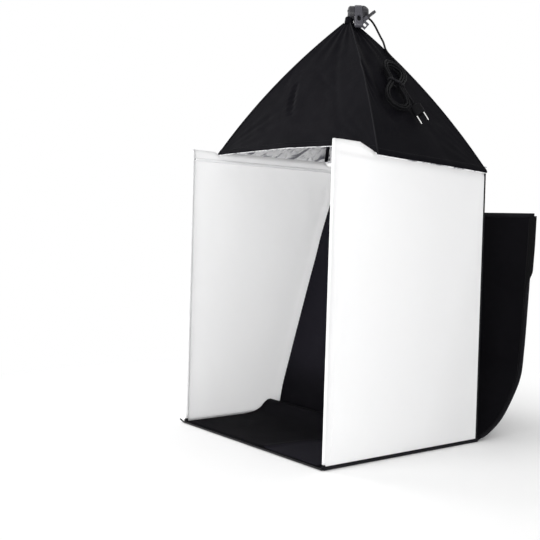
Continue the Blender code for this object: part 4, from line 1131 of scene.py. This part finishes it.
def fold_points(sign, share):
    """One row of the wall's fold, from behind the front pole to its outside."""
    z = blend(fold_low, wing_height - touch_gap, share)
    pucker = 0.00008 * math.sin(z * 700 + 2 * math.sin(z * 90))
    points = []
    for turn in steps(-fold_angle, 0.0, 16)[:-1]:
        radius = fold_radius + pucker * math.sin(turn / 2)
        points.append(Vector((sign * (side_x - pole_inset + radius * math.cos(turn)),
                              wall_start_y + radius * math.sin(turn) + lean * z / wing_height, z)))
    return points


def wall_point(sign, near, far, line, y, share):
    """Place on the wall's outside: taut, a little bowed, and tucked in under the hood's hem."""
    top = height_on(line, max(y, wall_front_y + lean))
    z = blend(fold_low * (1 - ease(y, wall_start_y, wall_start_y + 0.004)), top, share)
    shift = lean * z / wing_height * (1 - ease(y, wall_front_y, wall_front_y + 0.06))
    flat = ease(z, 0.0, 0.03) * ease(top - z, 0.0, 0.03)
    flat *= ease(y, wall_start_y, wall_start_y + 0.02) * ease(-y, -wall_back_y, -wall_back_y + 0.02)
    across = (y - wall_start_y) / (wall_back_y - wall_start_y)
    lift = wall_bow * math.sin(math.pi * share) * math.sin(math.pi * across)
    lift += wall_wave * abs(rough((0, y, z), 9.0, 2.0 + sign))
    lift += wall_ripple * abs(rough((0, y, z), 30.0, 5.0 + sign))
    hem_z = hem_height(near, far, y)
    tuck = hem_tuck * ease(z, hem_z - 0.005, hem_z) * ease(y, near.y - 0.006, near.y)
    return Vector((sign * (side_x + wall_lift + flat * lift - tuck), y + shift, z))


def add_pole_cap(side, sign):
    """Sewn end that closes the wall's fold over the front pole."""
    foot = Vector((sign * (side_x - pole_inset), wall_start_y + lean, wing_height - 0.0008))
    turns = steps(0.0, math.pi / 2, 6)
    path = [foot + z_axis * (cap_rise * math.sin(turn)) for turn in turns]

    def radius(index, z, angle):
        return max(cap_radius * math.cos(turns[index]), cap_end_radius)

    return add_sewn_tube(side + "_pole_cap", path, repeat((x_axis, y_axis)), radius, "white_tape",
                         count=20, thickness=0.0002)


def add_rail_casing(side):
    """White sewn tube that holds the side rail."""
    low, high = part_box(side + "_side_rail")
    middle_x = (low.x + high.x) / 2
    path = steps(Vector((middle_x, low.y - casing_overhang, high.z - rail_radius)),
                 Vector((middle_x, high.y + casing_overhang, low.z + rail_radius)), 120)

    def radius(index, z, angle):
        waves = math.sin(index * 0.9 + math.sin(index * 0.23))
        return casing_radius + seam_pucker * waves * math.sin(angle)

    return add_sewn_tube(side + "_rail_casing", path, repeat((x_axis, z_axis)), radius, "white_tape",
                         count=14, thickness=0.0004)


def add_hem_band(side, sign):
    """Black binding along the wall's foot, with its stitching."""
    outward, thick = x_axis * sign, band_thickness
    path = steps(Vector((sign * (side_x + touch_gap), front, 0.0)),
                 Vector((sign * (side_x + touch_gap), back, 0.0)), 90)
    section = [(0.0, 0.0005), (thick * 0.8, 0.0004), (thick, 0.0012), (thick, band_height - 0.0010),
               (thick * 0.7, band_height - 0.0002), (0.0, band_height)]
    band = add_section(side + "_hem_binding", path, repeat(outward), repeat(z_axis), section,
                       "black_binding")
    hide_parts(side + "_wall_hem_band")
    lift = outward * thick + z_axis * band_seam_height
    seam = steps(path[0] + lift, path[-1] + lift, 20)
    return [band, add_stitching(side + "_hem_stitching", [(seam, outward)], "black_nylon")]


def add_wall(side, sign, near_corner, far_corner):
    """White cloth, folded round the front pole and sewn behind it."""
    near, far = hood_corners[near_corner], hood_corners[far_corner]
    line = wall_top_line(near, far)
    breaks = sorted({*(y for y, _ in line[1:]), *steps(wall_start_y, wall_back_y, 72)})
    grid = [fold_points(sign, share) + [wall_point(sign, near, far, line, y, share) for y in breaks]
            for share in steps(0.0, 1.0, 60)]
    wall = add_sheet(side + "_side_wall", grid, "white_nylon", thickness=0.0007, flip=sign < 0)
    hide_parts(side + "_wall", "front_" + side + "_pole_sleeve")
    pieces = [add_pole_cap(side, sign), add_rail_casing(side)]
    seam_x = sign * (side_x + wall_lift)
    near_y, far_y = wall_front_y + wall_seam_inset, wall_back_y - wall_seam_inset
    front_seam = steps(Vector((seam_x, near_y, wall_seam_low)),
                       Vector((seam_x, near_y + lean, front_seam_top)), 20)
    back_seam = steps(Vector((seam_x, far_y, wall_seam_low)), Vector((seam_x, far_y, back_seam_top)), 20)
    wing_seam = [Vector((seam_x, y, height_on(line, y) - wing_seam_drop))
                 for y in steps(wall_front_y + lean, near.y - 0.004, 12)]
    seams = [(path, x_axis * sign) for path in (front_seam, back_seam, wing_seam)]
    pieces.append(add_stitching(side + "_wall_stitching", seams, "white_tape"))
    return wall, pieces + add_hem_band(side, sign)


def add_pole_sleeves():
    """Sewn black tubes round the back poles, slightly puckered along their seams."""
    for side, sign, _, corner in wall_sides:
        foot = Vector((sign * (side_x - pole_inset), back - pole_inset, foot_height + 2 * touch_gap))

        def radius(index, z, angle):
            pucker = seam_pucker * rough((0.32 * angle / math.tau, 0, z), 60.0, 3.0 + sign)
            waves = math.sin(z * 900 + math.sin(z * 140) * 2)
            return sleeve_radius + pucker + 0.00010 * waves * (0.4 + 0.6 * math.sin(angle))

        path = steps(foot, Vector((foot.x, foot.y, hood_corners[corner].z - sleeve_top_gap)), 150)
        sleeve = add_sewn_tube("back_" + side + "_sewn_sleeve", path, repeat((x_axis, y_axis)), radius,
                               "black_binding", count=16, thickness=0.0005)
        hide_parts("back_" + side + "_pole_sleeve")


# Backdrop sweep: its profile in shares of its run and drop
sweep_profile_shares = (
    (0.0, 1.0), (0.12, 0.707), (0.24, 0.414), (0.3455, 0.152), (0.372, 0.075), (0.383, 0.038),
    (0.400, 0.026), (0.428, 0.036), (0.462, 0.052), (0.497, 0.040), (0.528, 0.019), (0.580, 0.005),
    (0.66, 0.0), (0.80, 0.0), (1.0, 0.0),
)
cloth_thickness = 0.0012
sweep_half = side_x - 0.015
sweep_columns = 110
back_rail_height = 0.4625
floor_thickness = 0.003
sweep_fold = 0.0020
crease_ridge_height = 0.0021


def sweep_lift(x, share, point):
    """Soft folds down the upright part, and low waves and a raised crease on the floor."""
    slope = ease(share, 0.02, 0.12) * (1 - ease(share, 0.62, 0.74))
    across = (x / sweep_half + 1) / 2
    turn = math.tau * (2.6 * across + 0.7 * share) + 1.5 * rough((x, share, 0), 4.0, 0.0)
    folds = sweep_fold * (0.5 + 0.5 * math.sin(turn))
    folds += 0.0012 * (0.6 + rough((x, point.y, point.z), 16.0, 4.0))
    past = crease_line_normal.x * x + crease_line_normal.y * point.y - crease_line_offset
    crease = crease_ridge_height * ease(past, -0.020, 0.0) * (1 - ease(past, 0.0, 0.006))
    waves = 0.0006 * (0.6 + rough((x, point.y, 0), 22.0, 8.0)) + crease
    return max(0.0, slope * folds + (1 - slope) * ease(share, 0.7, 0.8) * waves)


def add_sweep():
    """Black cloth from the back rail down the back and over the floor, with soft folds."""
    top_y = back - pole_inset - rail_radius - touch_gap - cloth_thickness
    rest_z = floor_thickness + touch_gap + cloth_thickness
    drop, run = back_rail_height - rest_z, top_y - front
    curve = smooth_curve([(0.0, top_y - run * a, rest_z + drop * b) for a, b in sweep_profile_shares], 110)
    normals = [-normal for normal in curve_normals(curve)]
    grid = hung_grid(curve, normals, sweep_half, sweep_columns, sweep_lift)
    sweep = add_sheet("backdrop_cloth", grid, "sheen_painted_felt", thickness=0.0010)
    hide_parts("backdrop_sweep")
    lift = z_axis * seam_lift
    seams = [([row[column] + lift for row in grid[::2]], Vector((0.0, -0.6, 0.8)))
             for column in (2, sweep_columns - 2)]
    seams.append(([point + lift for point in grid[-4][::2]], z_axis))
    return sweep, [add_stitching("backdrop_stitching", seams, "black_nylon")]


# Back panel: its profile in shares of its reach and rise
panel_profile_shares = (
    (0.0, 0.006), (0.20, 0.028), (0.50, 0.094), (0.810, 0.240), (0.886, 0.385), (0.940, 0.612),
    (0.961, 0.740), (0.986, 0.860), (1.0, 1.0),
)
panel_reach = 0.1312
panel_rise = 0.4003
panel_thickness = 0.0025
panel_columns = 56
hinge_place = Vector((0.0, back + 0.0008, panel_thickness))
binding_reach = 0.0085
binding_under = -panel_thickness - 0.0002
binding_inside = -panel_thickness + 0.0004
panel_seam_inset = 0.0070
tab_first, tab_last = 69, 99
tab_inset, tab_overhang = 0.006, 0.0082
tab_thickness = 0.0015
tab_taper = 0.28


def panel_curve(count):
    controls = [(0.0, panel_reach * reach, panel_rise * rise) for reach, rise in panel_profile_shares]
    return [point + hinge_place for point in smooth_curve(controls, count)]


def panel_lift(x, share, point):
    waves = 0.0010 * rough((x, share, 0.0), 5.0, 9.0) + 0.0004 * rough((x, share * 2, 0.0), 16.0, 2.0)
    return ease(share, 0.0, 0.08) * waves


def add_panel_tabs():
    """Strips of fastening tape that stand out past the panel's upper sides."""
    curve = panel_curve(101)[tab_first:tab_last + 1]
    normals = curve_normals(curve)
    for side, sign, *_ in wall_sides:
        low_x, high_x = sign * (side_x - tab_inset), sign * (side_x + tab_overhang)
        grid = []
        for share, point, normal in zip(steps(0.0, 1.0, len(curve) - 1), curve, normals):
            place = point + normal * (tab_thickness + touch_gap)
            end_x = blend(low_x, high_x, ease(share / tab_taper))
            grid.append([Vector((x, place.y, place.z)) for x in steps(low_x, end_x, 6)])
        tab = add_sheet("fastening_tab_" + side, grid, "loop_tape", thickness=0.0013, flip=sign < 0,
                        body="back_panel")
        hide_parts("back_panel_tab_" + side)


def add_side_bindings(grid, normals):
    """Bindings along the panel's two sides, with the path of each one's seam."""
    section = [(binding_reach, 0.00005), (binding_reach, 0.0005), (-0.0004, 0.0005), (-0.0007, 0.00025),
               (-0.0007, binding_under * 0.9), (-0.0004, binding_under), (binding_reach, binding_under),
               (binding_reach, binding_inside), (0.0002, binding_inside), (0.0002, 0.00005)]
    edge_normals = normals[2::2] + normals[-1:]
    pieces, seams = [], []
    for side, inward, column in (("left", x_axis, 0), ("right", -x_axis, panel_columns)):
        path = [row[column] for row in grid[2::2] + grid[-1:]]
        pieces.append(add_section("panel_binding_" + side, path, repeat(inward), edge_normals, section,
                                  "black_binding", "back_panel"))
        lift = inward * panel_seam_inset
        seam = [place + lift + normal * 0.0006 for place, normal in zip(path, edge_normals)]
        seams.append((seam, Vector((0.0, -1.0, 0.3))))
    return pieces, seams


def add_top_binding(top, up, normal):
    section = [(-binding_reach, 0.0001), (-binding_reach, 0.0006), (0.0004, 0.0006),
               (0.0006, -panel_thickness * 0.5), (0.0004, binding_under), (-binding_reach, binding_under),
               (-binding_reach, binding_inside), (-0.0002, binding_inside), (-0.0002, 0.0001)]
    binding = add_section("panel_binding_top", top, repeat(up), repeat(normal), section,
                          "black_binding", "back_panel")
    return binding, ([place - up * panel_seam_inset + normal * 0.0007 for place in top], -y_axis)


def add_back_panel():
    """Curved back cloth with bound edges, stitching and fastening tabs."""
    curve = panel_curve(90)
    normals = curve_normals(curve)
    grid = hung_grid(curve, normals, side_x, panel_columns, panel_lift)
    panel = add_sheet("back_cloth", grid, "panel_felt", panel_thickness - touch_gap, body="back_panel")
    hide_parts("back_panel")
    pieces, seams = add_side_bindings(grid, normals)
    binding, seam = add_top_binding(grid[-1], (curve[-1] - curve[-2]).normalized(), normals[-1])
    stitching = add_stitching("panel_stitching", [*seams, seam], "black_nylon", "back_panel")
    add_panel_tabs()
    return panel, [*pieces, binding, stitching]


# Lamp
bulb_radius = 0.030
bulb_neck = 0.0125
bulb_flare = 1.02
bulb_start = math.radians(52.0)


def bulb_profile():
    """Radius and height of the glass's rings, from its neck down to its pole."""
    low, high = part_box("bulb_glass")
    centre, top, wide = low.z + bulb_radius, high.z, bulb_neck * bulb_flare
    neck_low = blend(top, centre + bulb_radius * 0.8, 0.35)
    profile = [(0.0, top), (bulb_neck * 0.98, top), (bulb_neck, top - 0.0006), (wide, neck_low)]
    joint = (bulb_radius * math.cos(bulb_start), centre + bulb_radius * math.sin(bulb_start))
    for share in steps(0.0, 1.0, 7)[1:-1]:
        profile.append((blend(wide, joint[0], ease(share)), blend(neck_low, joint[1], share)))
    for angle in steps(bulb_start, -math.pi / 2, 24)[:-1]:
        profile.append((bulb_radius * math.cos(angle), centre + bulb_radius * math.sin(angle)))
    return profile + [(0.0, centre - bulb_radius)]


def add_bulb():
    """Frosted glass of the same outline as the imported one."""
    count, points, rings, faces = 48, [], [], []
    for radius, z in bulb_profile():
        turns = angles(count) if radius else [0.0]
        rings.append([len(points) + index for index in range(len(turns))])
        points += [(radius * math.cos(turn), hood_axis_back + radius * math.sin(turn), z) for turn in turns]
    for upper, lower in zip(rings, rings[1:]):
        for i in range(count):
            j = (i + 1) % count
            corners = ((upper, i), (lower, i), (lower, j), (upper, j))
            faces.append(tuple(dict.fromkeys(ring[k % len(ring)] for ring, k in corners)))
    bulb = add_mesh("bulb_envelope", points, faces, "frosted_glass", body="bulb")
    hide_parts("bulb_glass")


# The clamp's tongue, as in the imported model, and a dark insert in its slot that is a painted shade
tongue_angle = math.radians(225.0)
tongue_length = 0.0340
tongue_root_half, tongue_end_half = 0.0146, 0.0055
clamp_inner_x = 0.0083
clamp_width = 0.0147
slot_along = 0.0250
slot_length, slot_width = 0.0130, 0.0064
insert_gap = 0.0003
insert_levels = ((-0.0030, 0.0), (-0.0010, 0.0), (-0.0007, 0.0004))


def add_slot_shade_insert():
    """Dark insert set in the slot of the stand clamp: painted shade in the slot's recess."""
    out_along = turned(y_axis, z_axis, tongue_angle)
    out_flat = turned(y_axis, z_axis, tongue_angle - math.pi / 2)
    surface = blend(tongue_root_half, tongue_end_half, slot_along / tongue_length)
    middle = x_axis * (clamp_inner_x + clamp_width / 2) + out_along * slot_along
    half_length, half_width = slot_length / 2 - insert_gap, slot_width / 2 - insert_gap
    points = []
    for depth, inset in insert_levels:
        for angle in angles(32):
            angle += math.pi / 32
            end = math.copysign(half_length - half_width, math.sin(angle))
            rounded = turned(x_axis, out_along, angle) * (half_width - inset)
            points.append(lamp_to_world(middle + out_along * end + rounded + out_flat * (surface + depth)))
    faces = grid_faces(3, 32, True) + end_faces(96, 32)
    add_mesh("slot_shade_insert", points, faces, "black_rubber", body="stand_clamp")


packed_finishes = {
    "dark_plastic": ("rib_hub", "hub_nut", "socket_housing", "tilt_lug", "clamp_screw", "tilt_knob"),
    "grey_plastic": ("stand_clamp",),
    "black_rubber": ("tip_collar", "switch_rocker", "strain_relief", "front_left_pole_foot",
                     "front_right_pole_foot", "back_left_pole_foot", "back_right_pole_foot"),
    "rod_finish": ("floor_front_rod", "left_side_rail", "right_side_rail", "back_rail",
                   *(corner + end for corner in corner_names for end in ("_pole", "_rib"))),
    "steel": ("bulb_cap", "tilt_bolt"),
    "brass": ("screw_shell", "centre_contact"),
}


def paint_nodes():
    """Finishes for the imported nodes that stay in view."""
    for finish, names in packed_finishes.items():
        for name in names:
            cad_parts[name].data.materials[0] = finishes[finish]


def sheet_area(thing):
    return round(sum(polygon.area for polygon in thing.data.polygons), 4)


hood_cover, hood_pieces = add_hood()
hood_pieces.append(add_hood_boot())
rib_channels = add_rib_sleeves()
add_floor_board()
add_board_border()
lining = add_lining()
walls = [add_wall(*side) for side in wall_sides]
add_pole_sleeves()
backdrop, backdrop_pieces = add_sweep()
back_cloth, panel_pieces = add_back_panel()
add_bulb()
# Dark insert in the clamp's slot, a painted shade
add_slot_shade_insert()
paint_nodes()

sheet_area(hood_cover)
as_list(hood_pieces)
for wall, wall_pieces in walls:
    sheet_area(wall)
    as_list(wall_pieces)
sheet_area(backdrop)
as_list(backdrop_pieces)
sheet_area(back_cloth)
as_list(panel_pieces)


# Light and floor
floor_half = 6.0
floor_height = -0.0005
floor_white_range = (0.30, 0.9)
sky_strength = 0.78
white = (1.0, 1.0, 1.0, 1.0)


def add_floor():
    """Pale floor that keeps the tent's shadow near it and is plain white to the camera further out."""
    mesh = bpy.data.meshes.new("studio_floor")
    corners = [(x * floor_half, y * floor_half, floor_height)
               for x, y in ((-1, -1), (1, -1), (1, 1), (-1, 1))]
    mesh.from_pydata(corners, [], [(0, 1, 2, 3)])
    floor = link_object("studio_floor", mesh)
    cloth = Finish("studio_floor", 0.9, 0.0)
    cloth.set("Base Color", (0.98, 0.98, 0.98, 1.0))
    reach = cloth.add("VectorMath", {0: cloth.solid_place}, operation="LENGTH").outputs["Value"]
    far = cloth.span(reach, *floor_white_range, shape="SMOOTHSTEP")
    seen = cloth.combine("MULTIPLY", far, cloth.add("LightPath").outputs["Is Camera Ray"])
    glow = cloth.add("Emission", {"Color": white, "Strength": 1.0})
    cloth.mix_surface(seen, cloth.shader.outputs[0], glow.outputs[0])
    mesh.materials.append(finishes["studio_floor"])


def add_sky():
    """White to the camera and in reflections, and softer as a light."""
    world = bpy.data.worlds.new("studio")
    world.use_nodes = True
    bpy.context.scene.world = world
    nodes = Nodes(world.node_tree)
    paths = nodes.add("LightPath").outputs
    seen = nodes.combine("MAXIMUM", paths["Is Camera Ray"], paths["Is Glossy Ray"])
    background = world.node_tree.nodes["Background"]
    background.inputs["Color"].default_value = white
    world.node_tree.links.new(nodes.span(seen, start=sky_strength), background.inputs["Strength"])


def add_lamp(name, place, aim_height, size, power):
    data = bpy.data.lights.new(name, "AREA")
    data.shape = "SQUARE"
    data.size = size
    data.energy = power
    lamp = link_object(name, data)
    lamp.location = place
    lamp.rotation_euler = (z_axis * aim_height - Vector(place)).to_track_quat("-Z", "Y").to_euler()


add_floor()
add_sky()
add_lamp("key", (1.75, -1.9, 0.2), aim_height=0.3, size=1.2, power=42.0)
add_lamp("fill", (-2.0, -0.6, 0.9), aim_height=0.3, size=1.2, power=21.0)
add_lamp("front_light", (-0.6, -2.4, 0.9), aim_height=0.4, size=1.0, power=17.0)
bpy.context.scene.view_settings.view_transform = "Standard"
